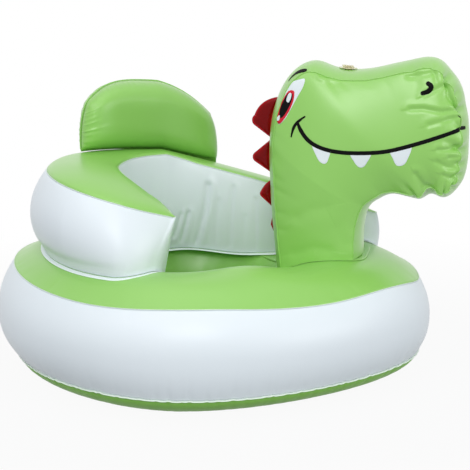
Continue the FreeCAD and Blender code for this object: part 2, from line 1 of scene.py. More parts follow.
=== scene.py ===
import math
import bpy
import numpy as np
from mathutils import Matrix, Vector


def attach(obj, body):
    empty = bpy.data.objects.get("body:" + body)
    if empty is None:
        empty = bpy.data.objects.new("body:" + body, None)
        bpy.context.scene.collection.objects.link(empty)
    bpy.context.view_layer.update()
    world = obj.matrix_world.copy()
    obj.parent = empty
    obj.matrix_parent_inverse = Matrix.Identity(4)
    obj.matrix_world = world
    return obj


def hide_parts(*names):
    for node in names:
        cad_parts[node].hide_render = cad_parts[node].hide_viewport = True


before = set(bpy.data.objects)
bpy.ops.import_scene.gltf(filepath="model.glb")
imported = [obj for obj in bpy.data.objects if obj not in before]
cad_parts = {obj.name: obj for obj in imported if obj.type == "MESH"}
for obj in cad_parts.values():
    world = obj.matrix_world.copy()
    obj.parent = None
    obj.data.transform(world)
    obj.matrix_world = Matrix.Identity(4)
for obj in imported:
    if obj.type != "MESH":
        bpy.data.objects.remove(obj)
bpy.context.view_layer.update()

# Shared sizes in millimetres and degrees: the shapes are worked out in them and turned to metres last
MM = 0.001
FILM = 0.4
LIFT = 0.4
SEAT = "seat"

UP = np.array([0, 0, 1.0])
# How far grid lines crowd towards both ends of a sheet
CROWDING = 0.35
# Welded edges: points round one, how far it reaches back under the film, and steps to its pointed end
BEAD_POINTS, BEAD_BACK, BEAD_TAPER = 12, 0.8, 5
# Soft unevenness: how many plane waves add up, and the range of their lengths
WAVE_COUNT, WAVE_RANGE = 6, (0.7, 1.5)
# Chance puckers: how far one shifts, in pitches, and the ranges of depth, reach and width
PUCKER_SHIFT, DEPTH_RANGE, REACH_RANGE, WIDTH_RANGE = 0.35, (0.35, 1), (0.5, 1.3), (0.6, 1.3)
PUCKER_POWER = 1.5
# The low ridge beside a crease: its share of the depth, and its place and width in widths of the crease
RIDGE_SHARE, RIDGE_PLACE, RIDGE_WIDTH = 0.45, 2.2, 1.4

# Air valves: the place on the film, the way out and the way to the plug's hinge
VALVES = {
    "base_valve": ((-330, 0, 85), (-1, 0, 0), (0, 0, 1)),
    "arm_valve": ((-279, 0, 240.736), (-1, 0, 0), (0, 0, 1)),
    "head_valve": ((189.311, 0, 444.406), (0.069132, 0, 0.997608), (0.997608, 0, -0.069132)),
}
VALVE_HOLE = 6.4


# Mesh and curve helpers

def column(values):
    """Values as a column, to be broadcast over rows of points."""
    return np.asarray(values, float)[:, None]


def rising(count):
    """Shares from 0 to 1 as a column."""
    return column(np.linspace(0, 1, count))


def circle(angle):
    """Level unit vectors at angles round the origin."""
    return np.stack([np.cos(angle), np.sin(angle), 0 * angle], -1)


def unit(vectors):
    """Vectors divided by their lengths."""
    return vectors / np.maximum(np.linalg.norm(vectors, axis=-1, keepdims=True), 1e-9)


def smooth_curve(points, stations):
    """Natural cubic curve through evenly numbered points, read at the stations."""
    points = np.asarray(points, float)
    count = len(points)
    system = np.eye(count)
    inner = np.arange(1, count - 1)
    system[inner, inner] = 4
    system[inner, inner - 1] = 1
    system[inner, inner + 1] = 1
    right = np.zeros_like(points)
    right[1:-1] = 6 * (points[:-2] - 2 * points[1:-1] + points[2:])
    bend = np.linalg.solve(system, right)
    place = np.clip(np.asarray(stations, float), 0, count - 1 - 1e-9)
    low = place.astype(int)
    far = (place - low)[..., None]
    near = 1 - far
    return (near * points[low] + far * points[low + 1]
            + ((near ** 3 - near) * bend[low] + (far ** 3 - far) * bend[low + 1]) / 6)


def length_along(points):
    """Running length of a line of points."""
    steps = np.linalg.norm(np.diff(points, axis=0), axis=1)
    return np.concatenate([[0.0], np.cumsum(steps)])


def loop_lengths(points):
    """Running length of a closed line, and its whole length."""
    along = length_along(points)
    return along, along[-1] + np.linalg.norm(points[0] - points[-1])


def crowded(count):
    """Places from -1 to 1 that lie closer together towards both ends: part sine, part even steps."""
    even = np.linspace(-1, 1, count)
    return CROWDING * np.sin(even * np.pi / 2) + (1 - CROWDING) * even


def raised(plan, level):
    """Plan points at a level for each."""
    grid = np.array(plan, float)
    grid[..., 2] = level
    return grid


def normals_of(grid, closed=False):
    """Unit normals of a grid of points: the row direction crossed with the column direction."""
    if closed:
        along = np.roll(grid, -1, 1) - np.roll(grid, 1, 1)
    else:
        along = np.gradient(grid, axis=1)
    return unit(np.cross(along, np.gradient(grid, axis=0)))


def lifted(grid, height, closed=False, side=1):
    """The grid moved along its normals by a height for each point."""
    return grid + normals_of(grid, closed) * (side * np.asarray(height))[..., None]


def opened(spots, quads, opening):
    """Round opening, given by its place, axis and radius: points in it move out to its rim.
    The second result tells which faces stay, because they don't lie wholly within it."""
    place, axis, radius = opening
    axis = np.array(axis, float)
    along = (spots - place) @ axis
    across = spots - place - along[:, None] * axis
    within = (np.linalg.norm(across, axis=1) < radius) & (np.abs(along) < 3 * radius)
    return np.where(within[:, None], spots - across + unit(across) * radius, spots), ~within[quads].all(1)


def texture_corners(grid, i, j):
    """UV of the four corners of each face, in metres along the columns and the rows."""
    along, across = (np.linalg.norm(np.gradient(grid, axis=axis), axis=2).mean() * MM for axis in (1, 0))
    corners = [np.stack([(j + right) * along, (i + down) * across], -1)
               for right, down in ((0, 0), (1, 0), (1, 1), (0, 1))]
    return np.stack(corners, 2).reshape(-1, 4, 2)


def grid_piece(name, grid, closed=False, side=1, wrap_rows=False, marks=None, opening=None):
    """Mesh of a grid in millimetres; closed joins the last column to the first; side -1 turns the faces.
    A row whose points all coincide becomes one point, with triangles round it."""
    rows, columns = grid.shape[:2]
    last = columns if closed else columns - 1
    last_row = rows if wrap_rows else rows - 1
    i, j = np.meshgrid(np.arange(last_row), np.arange(last), indexing="ij")
    after, above = (j + 1) % columns, (i + 1) % rows
    numbers = np.arange(rows * columns).reshape(rows, columns)
    poles = np.ptp(grid, axis=1).max(1) < 1e-6
    numbers[poles] = numbers[poles, :1]
    quads = np.stack([numbers[i, j], numbers[i, after], numbers[above, after], numbers[above, j]], -1)
    quads = quads.reshape(-1, 4)
    keep = np.ones(quads.shape, bool)
    keep[:, 1] = quads[:, 1] != quads[:, 0]
    keep[:, 3] = quads[:, 3] != quads[:, 2]
    corners = texture_corners(grid, i, j)
    spots = grid.reshape(-1, 3)
    if opening is not None:
        spots, whole = opened(spots, quads, opening)
        quads, keep, corners = quads[whole], keep[whole], corners[whole]
    if side < 0:
        quads, keep, corners = quads[:, ::-1], keep[:, ::-1], corners[:, ::-1]
    used, loops = np.unique(quads[keep], return_inverse=True)
    counts = keep.sum(1)
    mesh = bpy.data.meshes.new(name)
    mesh.vertices.add(len(used))
    mesh.loops.add(len(loops))
    mesh.polygons.add(len(counts))
    mesh.vertices.foreach_set("co", (spots[used] * MM).astype(np.float32).ravel())
    mesh.polygons.foreach_set("loop_start", np.cumsum(counts) - counts)
    mesh.loops.foreach_set("vertex_index", loops.ravel())
    mesh.update(calc_edges=True)
    uv = mesh.uv_layers.new(name="UVMap")
    uv.data.foreach_set("uv", corners[keep].astype(np.float32).ravel())
    mesh.polygons.foreach_set("use_smooth", np.ones(len(counts), bool))
    if marks is not None:
        from_edge = mesh.attributes.new("from_edge", "FLOAT", "POINT")
        from_edge.data.foreach_set("value", marks.ravel()[used].astype(np.float32))
    mesh.update()
    piece = bpy.data.objects.new(name, mesh)
    bpy.context.scene.collection.objects.link(piece)
    return piece


def dress(piece, material, body=SEAT, stands_for=(), thickness=FILM):
    """Gives a piece its film thickness, material and body, and hides the nodes that it stands for."""
    if thickness:
        wall = piece.modifiers.new("film", "SOLIDIFY")
        wall.thickness = thickness * MM
        wall.offset = -1
    piece.data.materials.append(material)
    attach(piece, body)
    if stands_for:
        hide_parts(*stands_for)
    return piece


def skin(name, node, grid, material=None, closed=True, side=1, opening=None):
    """Film surface that stands for a CAD node, green unless another film is given."""
    piece = grid_piece(name, grid, closed, side, opening=opening)
    return dress(piece, material or green_film, stands_for=[node])


def valve_hole(valve):
    """The film's round opening under a valve: its place, axis and radius."""
    place, out, _ = VALVES[valve]
    return place, out, VALVE_HOLE


def bead(name, line, out, up, material, reach, thick, closed=True):
    """Narrow welded edge along a line: a flat tongue with a round outer edge; an open one ends in points."""
    turn = column(np.linspace(0, 2 * np.pi, BEAD_POINTS, endpoint=False))
    size = np.ones(len(line))
    if not closed:
        number = np.arange(len(line))
        size = np.sqrt(np.minimum(1, np.minimum(number, number[::-1]) / BEAD_TAPER))
    across = ((reach - BEAD_BACK) / 2 + (reach + BEAD_BACK) / 2 * np.cos(turn)) * size
    high = thick / 2 * np.sign(np.sin(turn)) * np.abs(np.sin(turn)) ** 0.5 * size
    up = up + 0 * line
    grid = line + out * across[..., None] + up * high[..., None]
    facing = np.sum(np.cross(np.gradient(line, axis=0), up) * out, 1)
    if not closed:
        grid[:, [0, -1]] = line[[0, -1]]
    piece = grid_piece(name, grid, closed, 1 if np.median(facing) > 0 else -1, wrap_rows=True)
    return dress(piece, material, thickness=0)


def seam_bead(name, line, out, material, tilt, reach, thick):
    """Welded edge of a closed seam, whose level outward direction is tilted up."""
    return bead(name, line, unit(out + tilt * UP), unit(UP - tilt * out), material, reach, thick)


def flange(name, line, edge, material, reach, thick):
    """Flat welded edge that runs from a closed line towards another."""
    out = unit(edge - line)
    return bead(name, line, out, unit(np.cross(out, np.cross(UP, out))), material, reach, thick)


# Creases and puckers of tight film

def waves(grid, seed, height, wavelength, calm=1):
    """Soft unevenness: plane waves of chance direction and length added up, less where calm is under 1."""
    chance = np.random.default_rng(seed)
    total = np.zeros(grid.shape[:2])
    for _ in range(WAVE_COUNT):
        direction = chance.normal(size=3)
        direction /= np.linalg.norm(direction)
        pitch = wavelength * chance.uniform(*WAVE_RANGE)
        total += np.sin((grid @ direction) * (2 * np.pi / pitch) + chance.uniform(0, 2 * np.pi))
    return total * height / WAVE_COUNT * np.minimum(1, calm)


def puckers(along, away, places, depths, reaches, widths, loop=None, held=2.0):
    """Dents that run away from a seam: each is a narrow bell along it that fades with distance.
    On the seam itself, over the held distance, they vanish."""
    away = np.maximum(away, 0)
    total = np.zeros(np.broadcast(along, away).shape)
    for place, depth, reach, width in zip(places, depths, reaches, widths):
        offset = along - place
        if loop:
            offset = (offset + loop / 2) % loop - loop / 2
        spreading = width * (1 + away / reach)
        total += depth * np.exp(-(offset / spreading) ** 2) * np.exp(-(away / reach) ** PUCKER_POWER)
    return total * away / (away + held) if held else total


def crease(first, second, route, depth, width):
    """A valley with a low ridge beside it, which follow a route given in two measures of a surface."""
    nearest = np.full(np.broadcast(first, second).shape, np.inf)
    hand = np.zeros(nearest.shape)
    for start, end in zip(route[:-1], route[1:]):
        run, climb = end[0] - start[0], end[1] - start[1]
        ahead, over = first - start[0], second - start[1]
        share = np.clip((ahead * run + over * climb) / (run ** 2 + climb ** 2), 0, 1)
        gap = np.hypot(ahead - share * run, over - share * climb)
        turn = np.sign(ahead * climb - over * run)
        hand = np.where(gap < nearest, turn, hand)
        nearest = np.minimum(gap, nearest)
    valley = np.exp(-(nearest / width) ** 2)
    ridge = np.exp(-((nearest * hand - RIDGE_PLACE * width) / (RIDGE_WIDTH * width)) ** 2)
    return depth * (valley - RIDGE_SHARE * ridge)


def chance_puckers(start, end, seed, pitch, depth, reach, width):
    """Chance places, depths, reaches and widths for puckers between two places along a seam."""
    chance = np.random.default_rng(seed)
    count = max(1, int((end - start) / pitch))
    places = np.linspace(start, end, count) + chance.uniform(-PUCKER_SHIFT, PUCKER_SHIFT, count) * pitch
    depths = depth * chance.uniform(*DEPTH_RANGE, count)
    reaches = reach * chance.uniform(*REACH_RANGE, count)
    return places, depths, reaches, width * chance.uniform(*WIDTH_RANGE, count)


# Materials

# Films: relief, its depth in metres, and scale and detail of the cloudy tint, the grain and the ripple
FILM_RELIEF, RELIEF_DEPTH, CLOUD, GRAIN, RIPPLE = 0.05, 0.001, (9, 2), (420, 3), (38, 2)
# How far the ripple lowers and raises the roughness, and the grain's share of the relief
SMOOTHER, ROUGHER, GRAIN_SHARE = -0.05, 0.06, 0.12
FILM_COAT_ROUGHNESS, FILM_IOR = 0.3, 1.45
# Fins: how far from the edge their colours run, and each colour with its share of that way; the brighter rim
# is partly the welded rim's own lighter red and partly a painted highlight
FIN_TINT_REACH = 8
FIN_TINTS_AND_RIM_HIGHLIGHT = [(0.03, (0.12, 0.002, 0.004, 1)), (0.10, (0.50, 0.008, 0.016, 1)),
             (0.26, (0.46, 0.005, 0.012, 1)), (0.36, (0.24, 0.0002, 0.001, 1)),
             (1, (0.20, 0.0001, 0.0006, 1))]


def set_inputs(tree, node, inputs):
    """Gives sockets of a node their plain values, or wires the outputs given for them."""
    for socket, value in inputs.items():
        if isinstance(value, bpy.types.NodeSocket):
            tree.links.new(value, node.inputs[socket])
        else:
            node.inputs[socket].default_value = value


def add_node(tree, kind, inputs, **settings):
    """New node of a kind, with its settings made before its inputs."""
    node = tree.nodes.new(kind)
    for setting, value in settings.items():
        setattr(node, setting, value)
    set_inputs(tree, node, inputs)
    return node


def new_material(name):
    """New material with its node tree and its shader."""
    material = bpy.data.materials.new(name)
    material.use_nodes = True
    return material, material.node_tree, material.node_tree.nodes["Principled BSDF"]


def film_surface_group():
    """Node group: tint, roughness and fine relief of soft PVC film."""
    group = bpy.data.node_groups.new("film_surface", "ShaderNodeTree")
    takes = {"Colour": "Color", "Deep colour": "Color", "Roughness": "Float", "Relief": "Float"}
    gives = {"Colour": "Color", "Roughness": "Float", "Normal": "Vector"}
    for way, sockets in (("INPUT", takes), ("OUTPUT", gives)):
        for name, kind in sockets.items():
            group.interface.new_socket(name, in_out=way, socket_type="NodeSocket" + kind)
    source = group.nodes.new("NodeGroupInput").outputs
    result = group.nodes.new("NodeGroupOutput")
    place = add_node(group, "ShaderNodeTexCoord", {}).outputs["Object"]
    cloud, grain, ripple = (
        add_node(group, "ShaderNodeTexNoise", {"Vector": place, "Scale": scale, "Detail": detail}).outputs[0]
        for scale, detail in (CLOUD, GRAIN, RIPPLE))
    tint = add_node(group, "ShaderNodeMix",
                    {"Factor": cloud, "A": source["Colour"], "B": source["Deep colour"]}, data_type="RGBA")
    spread = add_node(group, "ShaderNodeMapRange", {"Value": ripple, "To Min": SMOOTHER, "To Max": ROUGHER})
    rough = add_node(group, "ShaderNodeMath", {0: source["Roughness"], 1: spread.outputs["Result"]},
                     operation="ADD")
    height = add_node(group, "ShaderNodeMath", {0: grain, 1: GRAIN_SHARE, 2: ripple},
                      operation="MULTIPLY_ADD")
    bump = add_node(group, "ShaderNodeBump", {"Height": height.outputs["Value"], "Strength": source["Relief"],
                                              "Distance": RELIEF_DEPTH})
    set_inputs(group, result, {"Colour": tint.outputs["Result"], "Roughness": rough.outputs["Value"],
                               "Normal": bump.outputs["Normal"]})
    return group


def wear_film(tree, shader, inputs):
    """Wires the shared film surface, with its inputs, into the shader's colour, roughness and normal."""
    surface = add_node(tree, "ShaderNodeGroup", {"Relief": FILM_RELIEF, **inputs}, node_tree=film_surface)
    set_inputs(tree, shader, {"Base Color": surface.outputs["Colour"],
                              "Roughness": surface.outputs["Roughness"],
                              "Normal": surface.outputs["Normal"]})


def film_material(name, colour, deep, roughness, coat=0.15, shine=0.5):
    """Soft film whose tint runs between two colours."""
    material, tree, shader = new_material(name)
    wear_film(tree, shader, {"Colour": (*colour, 1), "Deep colour": (*deep, 1), "Roughness": roughness})
    set_inputs(tree, shader, {"Coat Weight": coat, "Coat Roughness": FILM_COAT_ROUGHNESS, "IOR": FILM_IOR,
                              "Specular IOR Level": shine})
    return material


def fin_material():
    """Glossy red film: a thin dark line on the cut edge, a brighter rim along the weld that is partly the
    weld's own lighter red and partly a painted highlight, and darker inside.
    """
    material, tree, shader = new_material("fin_film")
    inset = add_node(tree, "ShaderNodeAttribute", {}, attribute_name="from_edge")
    share = add_node(tree, "ShaderNodeMapRange", {"Value": inset.outputs["Fac"], "From Max": FIN_TINT_REACH})
    ramp = add_node(tree, "ShaderNodeValToRGB", {"Fac": share.outputs["Result"]})
    stops = ramp.color_ramp.elements
    stops[0].position, stops[0].color = FIN_TINTS_AND_RIM_HIGHLIGHT[0]
    stops[1].position, stops[1].color = FIN_TINTS_AND_RIM_HIGHLIGHT[-1]
    for position, colour in FIN_TINTS_AND_RIM_HIGHLIGHT[1:-1]:
        stops.new(position).color = colour
    tint = ramp.outputs["Color"]
    wear_film(tree, shader, {"Colour": tint, "Deep colour": tint, "Roughness": 0.2})
    set_inputs(tree, shader, {"Specular IOR Level": 0.12, "Coat Weight": 0.04, "Coat Roughness": 0.12})
    return material


def seen_share(tree):
    """1 for rays from the camera, off glossy surfaces and through clear ones, else 0."""
    rays = add_node(tree, "ShaderNodeLightPath", {}).outputs
    direct = add_node(tree, "ShaderNodeMath", {0: rays["Is Camera Ray"], 1: rays["Is Glossy Ray"]},
                      operation="MAXIMUM")
    return add_node(tree, "ShaderNodeMath", {0: direct.outputs["Value"], 1: rays["Is Transmission Ray"]},
                    operation="MAXIMUM").outputs["Value"]


def set_surface(tree, output, share, first, second):
    """Mixes two shaders by a share and wires the mix into the tree's output."""
    mix = add_node(tree, "ShaderNodeMixShader", {0: share, 1: first.outputs[0], 2: second.outputs[0]})
    set_inputs(tree, tree.nodes[output], {"Surface": mix.outputs[0]})


film_surface = film_surface_group()
green_film = film_material("green_film", (0.280, 0.590, 0.120), (0.262, 0.568, 0.104), roughness=0.36,
                           coat=0.6)
white_film = film_material("white_film", (0.785, 0.845, 0.885), (0.76, 0.825, 0.865), roughness=0.40)
weld_film = film_material("weld_film", (0.80, 0.90, 0.80), (0.76, 0.87, 0.74), roughness=0.4)
flange_film = film_material("flange_film", (0.85, 0.92, 0.93), (0.81, 0.90, 0.88), roughness=0.4)
# The green film, a little darker and without coat: painted shade for the base's underside
shaded_under_film = film_material("shaded_under_film", (0.26, 0.555, 0.105), (0.245, 0.535, 0.095), roughness=0.45, coat=0,
                           shine=0.2)
fin_film = fin_material()
ink_black = film_material("black_ink", (0.003, 0.003, 0.003), (0.005, 0.005, 0.005), roughness=0.5, coat=0,
                          shine=0.08)
ink_white = film_material("white_ink", (0.78, 0.84, 0.88), (0.75, 0.81, 0.85), roughness=0.42)
ink_red = film_material("red_ink", (0.66, 0.020, 0.040), (0.60, 0.016, 0.036), roughness=0.42, coat=0,
                        shine=0.2)
clear_valve = film_material("clear_valve", (0.78, 0.72, 0.45), (0.74, 0.67, 0.40), roughness=0.22, coat=0.3)
clear_valve.node_tree.nodes["Principled BSDF"].inputs["Transmission Weight"].default_value = 0.35


# Camera: the photograph's place, 10 degrees round from the side and 13 degrees down

CAMERA_TURN = math.radians(10)
CAMERA_TILT = math.radians(13)
CAMERA_PLACE = (0.338, -1.768, 0.61)
CAMERA_LENS, CAMERA_SENSOR = 95.1, 36
camera_data = bpy.data.cameras.new("camera")
camera_data.lens = CAMERA_LENS
camera_data.sensor_width = CAMERA_SENSOR
camera = bpy.data.objects.new("camera", camera_data)
camera.location = CAMERA_PLACE
camera.rotation_euler = (math.pi / 2 - CAMERA_TILT, 0, CAMERA_TURN)
bpy.context.scene.collection.objects.link(camera)
bpy.context.scene.camera = camera


# Base ring

BASE_REAR, BASE_FRONT, BASE_HALF_WIDTH = 330, 316, 283
NARROWING_START, NARROWING_RUN, NARROWING_SHARE = -120, 420, 0.28
BASE_CREST, BASE_BULGE_LEVEL, SIDE_POWER = 175, 85, 2.2
TOP_SEAM_LEVEL, TOP_SEAM_INSET, TOP_FRONT_EASE = 146, 26, 8
REAR_RISE, FRONT_RISE, END_POWER = 20, 11, 3
BOTTOM_SEAM_LEVEL, BOTTOM_SEAM_INSET, BOTTOM_REAR_TUCK, BOTTOM_FRONT_TUCK = 30, 12, 15, 4
BOTTOM_REAR_POWER, BOTTOM_FRONT_POWER, BOW_RISE, BOW_POWER = 1.2, 2, 4, 1.5
BOTTOM_ROUND, BOTTOM_FRONT_ROUND, BOTTOM_POWER = 58, 26, 0.88
WELL_OFFSET, WELL_RADIUS, WELL_RIM, WELL_TUCK, FLOOR_LEVEL = -30, 97, 28, 10, 36
CREST_POWER, CREST_EASE, FRONT_FALL, FRONT_FALL_POWER = 2.5, 6, 1.1, 16

base_middle = (BASE_FRONT - BASE_REAR) / 2
base_half_length = (BASE_FRONT + BASE_REAR) / 2
# Fuller and lower places of the base's top: middle, height and reach along and across
CREST_SWELLS = [(66, -140, 8, 55, 36), (10, -140, 7, 120, 50), (-55, 100, 7, 60, 35), (90, 97, -11, 32, 34)]


def width_at(x):
    """Half width of the base, which narrows with a square towards the front."""
    run = np.maximum(0, (x - NARROWING_START) / NARROWING_RUN)
    return BASE_HALF_WIDTH * (1 - NARROWING_SHARE * run ** 2)


def end_rise(x):
    """How much higher the top lies towards the two ends."""
    share = (x - base_middle) / base_half_length
    return np.where(share > 0, FRONT_RISE, REAR_RISE) * np.minimum(np.abs(share), 1) ** END_POWER


def seam_inset(x):
    """Inset of the top seam, less at the front."""
    share = np.clip((x - base_middle) / base_half_length, 0, 1)
    return TOP_SEAM_INSET - TOP_FRONT_EASE * share ** END_POWER


def base_height(x, y, fall=FRONT_FALL):
    """Level of the base's top: a crest that drops to the well's rim and to the outer seam, more at the front,
    with a few soft swells."""
    from_middle = np.hypot(x - base_middle, y)
    reach = np.hypot((x - base_middle) / base_half_length, y / width_at(x))
    outer_x = base_middle + (x - base_middle) / np.maximum(reach, 0.01)
    outside = from_middle * (1 / np.maximum(reach, 0.01) - 1) - seam_inset(outer_x)
    inside = np.hypot(x - WELL_OFFSET, y) - WELL_RADIUS - WELL_RIM
    share = np.abs((inside - outside) / (inside + outside))
    eased = share / (1 + share ** CREST_EASE) ** (1 / CREST_EASE)
    drop = (BASE_CREST - TOP_SEAM_LEVEL) * 2 ** (CREST_POWER / CREST_EASE)
    ahead = np.clip((x - base_middle) / base_half_length, 0, 1)
    drop = drop * (1 + fall * ahead ** FRONT_FALL_POWER)
    swell = sum(height * np.exp(-((x - place_x) / run_x) ** 2 - ((y - place_y) / run_y) ** 2)
                for place_x, place_y, height, run_x, run_y in CREST_SWELLS)
    return BASE_CREST - drop * eased ** CREST_POWER + end_rise(x) + swell


def on_base(plan, rise):
    """Plan points at a rise over the base's top."""
    return raised(plan, base_height(plan[..., 0], plan[..., 1]) + rise)


# Puckers at the bottom seam, the top seam, the well's rim and the well's floor
FOOT_PUCKERS = dict(seed=3, pitch=19, depth=1.3, reach=15, width=3.2)
SHOULDER_PUCKERS = dict(seed=4, pitch=37, depth=0.6, reach=15, width=4.5)
RIM_PUCKERS = dict(seed=8, pitch=66, depth=0.9, reach=24, width=11)
WELL_PUCKERS = dict(seed=9, pitch=75, depth=1.6, reach=60, width=14)
WELL_DEPTH = 90
# Degrees round the ring and how much higher its top seam lies there; the bell that smooths it is in steps
SEAM_WAVE = [(-180, 0), (-115, 0), (-92, 5), (-78, 5), (-62, -3), (-52, -6), (-43, -5), (-34, -1), (-26, 0),
             (180, 0)]
WAVE_REACH, WAVE_SPREAD = 30, 12.0
RING_STEPS = 720
BAND_ROWS, TOP_ROWS, WELL_ROWS, FLANK_ROWS, FLAT_ROWS, FLOOR_ROWS = 46, 56, 44, 22, 12, 24
# Unevenness fades where the distances from two seams, multiplied, are less than this
BAND_CALM, TOP_CALM, ARM_CALM, REST_CALM = 900, 2500, 1500, 900
# Size of the small disc that closes a round sheet in its middle, as a share of the sheet
HUB_SHARE = 0.04
turns = np.linspace(0, 2 * np.pi, RING_STEPS, endpoint=False)
outer_x = base_middle + base_half_length * np.cos(turns)
outer_edge = np.stack([outer_x, width_at(outer_x) * np.sin(turns), 0 * turns], -1)
well_edge = np.array([WELL_OFFSET, 0, 0]) + WELL_RADIUS * circle(turns)
outward = unit(outer_edge - well_edge)
top_inset = seam_inset(outer_x)
top_seam = outer_edge - outward * top_inset[:, None]
well_rim = well_edge + outward * WELL_RIM
rear_share = np.maximum(0, (base_middle - outer_x) / base_half_length)
front_share = np.maximum(0, (outer_x - base_middle) / base_half_length)
bottom_inset = (BOTTOM_SEAM_INSET + BOTTOM_REAR_TUCK * rear_share ** BOTTOM_REAR_POWER
                + BOTTOM_FRONT_TUCK * front_share ** BOTTOM_FRONT_POWER)
bow = BOW_RISE * np.maximum(0, outer_x / BASE_FRONT) ** BOW_POWER
wave_turns = (np.degrees(turns) + 180) % 360 - 180
wave_bell = np.exp(-(np.arange(-WAVE_REACH, WAVE_REACH + 1) / WAVE_SPREAD) ** 2)
wave_places, wave_heights = np.array(SEAM_WAVE, float).T
seam_wave = np.interp(wave_turns, wave_places, wave_heights)
seam_wave = np.convolve(np.concatenate([seam_wave[-WAVE_REACH:], seam_wave, seam_wave[:WAVE_REACH]]),
                        wave_bell / wave_bell.sum(), "valid")
top_level = base_height(top_seam[:, 0], top_seam[:, 1]) - LIFT + seam_wave
rim_level = base_height(well_rim[:, 0], well_rim[:, 1]) - LIFT
ring_along, ring_length = loop_lengths(outer_edge)
foot_puckers = chance_puckers(0, ring_length, **FOOT_PUCKERS)
shoulder_puckers = chance_puckers(0, ring_length, **SHOULDER_PUCKERS)
rim_puckers = chance_puckers(0, ring_length, **RIM_PUCKERS)
scallops = puckers(ring_along, 0 * ring_along, *foot_puckers, loop=ring_length, held=0)
bottom_level = BOTTOM_SEAM_LEVEL + bow + scallops


def side_band():
    """White band: a bulge whose inset grows with a power of the distance above or below its widest line."""
    share = rising(BAND_ROWS)
    level = bottom_level + (top_level - bottom_level) * share
    above = np.clip((level - BASE_BULGE_LEVEL) / (top_level - BASE_BULGE_LEVEL), 0, 1) ** SIDE_POWER
    below = np.clip((BASE_BULGE_LEVEL - level) / (BASE_BULGE_LEVEL - bottom_level), 0, 1) ** SIDE_POWER
    inset = top_inset * above + bottom_inset * below
    grid = raised(outer_edge - outward * inset[..., None], level)
    low = level - bottom_level
    high = top_level - level
    dents = puckers(ring_along, low, *foot_puckers, loop=ring_length)
    dents += puckers(ring_along, high, *shoulder_puckers, loop=ring_length)
    uneven = waves(grid, seed=5, height=0.9, wavelength=160, calm=low * high / BAND_CALM)
    return lifted(grid, uneven - dents, True)


def top_sheet():
    """Green top: straight plan lines from the outer seam to the well's rim, at the base's level."""
    share = rising(TOP_ROWS)[..., None]
    plan = top_seam + (well_rim - top_seam) * share
    x, y = plan[..., 0], plan[..., 1]
    grid = raised(plan, base_height(x, y) + LIFT + seam_wave * (1 - share[..., 0]) ** 2)
    away = np.linalg.norm(plan - top_seam, axis=-1)
    rim_away = np.linalg.norm(plan - well_rim, axis=-1)
    dents = puckers(ring_along, away, *shoulder_puckers, loop=ring_length)
    dents += puckers(ring_along, rim_away, *rim_puckers, loop=ring_length)
    uneven = waves(grid, seed=6, height=1.0, wavelength=150, calm=away * rim_away / TOP_CALM)
    return lifted(grid, uneven - dents, True)


def well_wall():
    """Green wall of the well, from its rim down to the floor, with upright soft folds."""
    share = rising(WELL_ROWS)
    level = rim_level + (FLOOR_LEVEL - rim_level) * share
    bend = (1 - share) ** 3 * WELL_RIM + share ** 3 * WELL_TUCK
    grid = raised(well_edge + outward * bend[..., None], level)
    away = rim_level - level
    dents = puckers(ring_along, away, *rim_puckers, loop=ring_length)
    dents += puckers(ring_along, WELL_DEPTH - away, *chance_puckers(0, ring_length, **WELL_PUCKERS),
                     loop=ring_length)
    return lifted(grid, -dents, True)


def underside():
    """Green underside: a quarter ellipse from the seam down to the flat, which runs on to the middle."""
    turn = column(np.linspace(0, np.pi / 2, FLANK_ROWS))
    seam = outer_edge - outward * bottom_inset[:, None]
    reach = BOTTOM_ROUND + BOTTOM_FRONT_ROUND * front_share
    flank = seam - outward * (reach * (1 - np.sin(turn)) ** BOTTOM_POWER)[..., None]
    flank = raised(flank, (bottom_level - LIFT) * (1 - np.cos(turn)))
    shrink = column(np.linspace(HUB_SHARE, 1, FLAT_ROWS))[..., None][:-1]
    middle = np.array([base_middle, 0, 0])
    flat = raised(middle + (flank[0] - middle) * shrink, 0)
    low = bottom_level - flank[..., 2]
    dents = puckers(ring_along, low, *foot_puckers, loop=ring_length)
    flank = lifted(flank, -dents * (1 - np.cos(turn)), True)
    flank[..., 2] = np.maximum(flank[..., 2], 0)
    return np.concatenate([flat, flank])


def disc_closed(grid, level):
    """Adds a row of one repeated point, which closes the grid's first row to a disc."""
    hub = np.broadcast_to(grid[0].mean(0), grid[0].shape)
    return np.concatenate([raised(hub, level)[None], grid])


skin("base_side_band_film", "base_side_band", side_band(), white_film,
     opening=valve_hole("base_valve"))
skin("base_top_film", "base_top_sheet", top_sheet())
skin("well_wall_film", "well_wall", well_wall())
skin("base_underside_film", "base_bottom_sheet", disc_closed(underside(), 0), shaded_under_film)
seam_bead("base_top_weld", raised(top_seam, top_level + LIFT), outward, weld_film,
          tilt=0.55, reach=0.8, thick=0.8)
seam_bead("base_bottom_weld", raised(outer_edge - outward * bottom_inset[:, None], bottom_level - LIFT / 2),
          outward, weld_film, tilt=-0.35, reach=2.4, thick=1.0)
seam_bead("well_rim_weld", raised(well_rim, rim_level + LIFT), -outward, green_film,
          tilt=0.5, reach=1.4, thick=1.6)


# The well's floor: how high it swells between webs that stand this far apart, and the powers of its shape
FLOOR_SWELL, WEB_PITCH, SWELL_POWER, RIM_POWER, HUB_RISE = 5, 52, 0.7, 6, 4


def floor_disc():
    """Seat floor: a disc that swells with a cosine between its webs and dips at its rim."""
    radius = column(np.linspace(HUB_SHARE, 1, FLOOR_ROWS))
    reach = WELL_RADIUS + WELL_TUCK
    x = WELL_OFFSET + reach * radius * np.cos(turns)
    y = reach * radius * np.sin(turns)
    swell = FLOOR_SWELL * np.abs(np.cos(np.pi * y / WEB_PITCH)) ** SWELL_POWER * (1 - radius ** RIM_POWER)
    return np.stack([x, y, FLOOR_LEVEL - LIFT - FILM + 0 * radius + swell], -1)


skin("seat_floor_film", "seat_floor_sheet", disc_closed(floor_disc(), FLOOR_LEVEL + HUB_RISE))


# Backrest ring

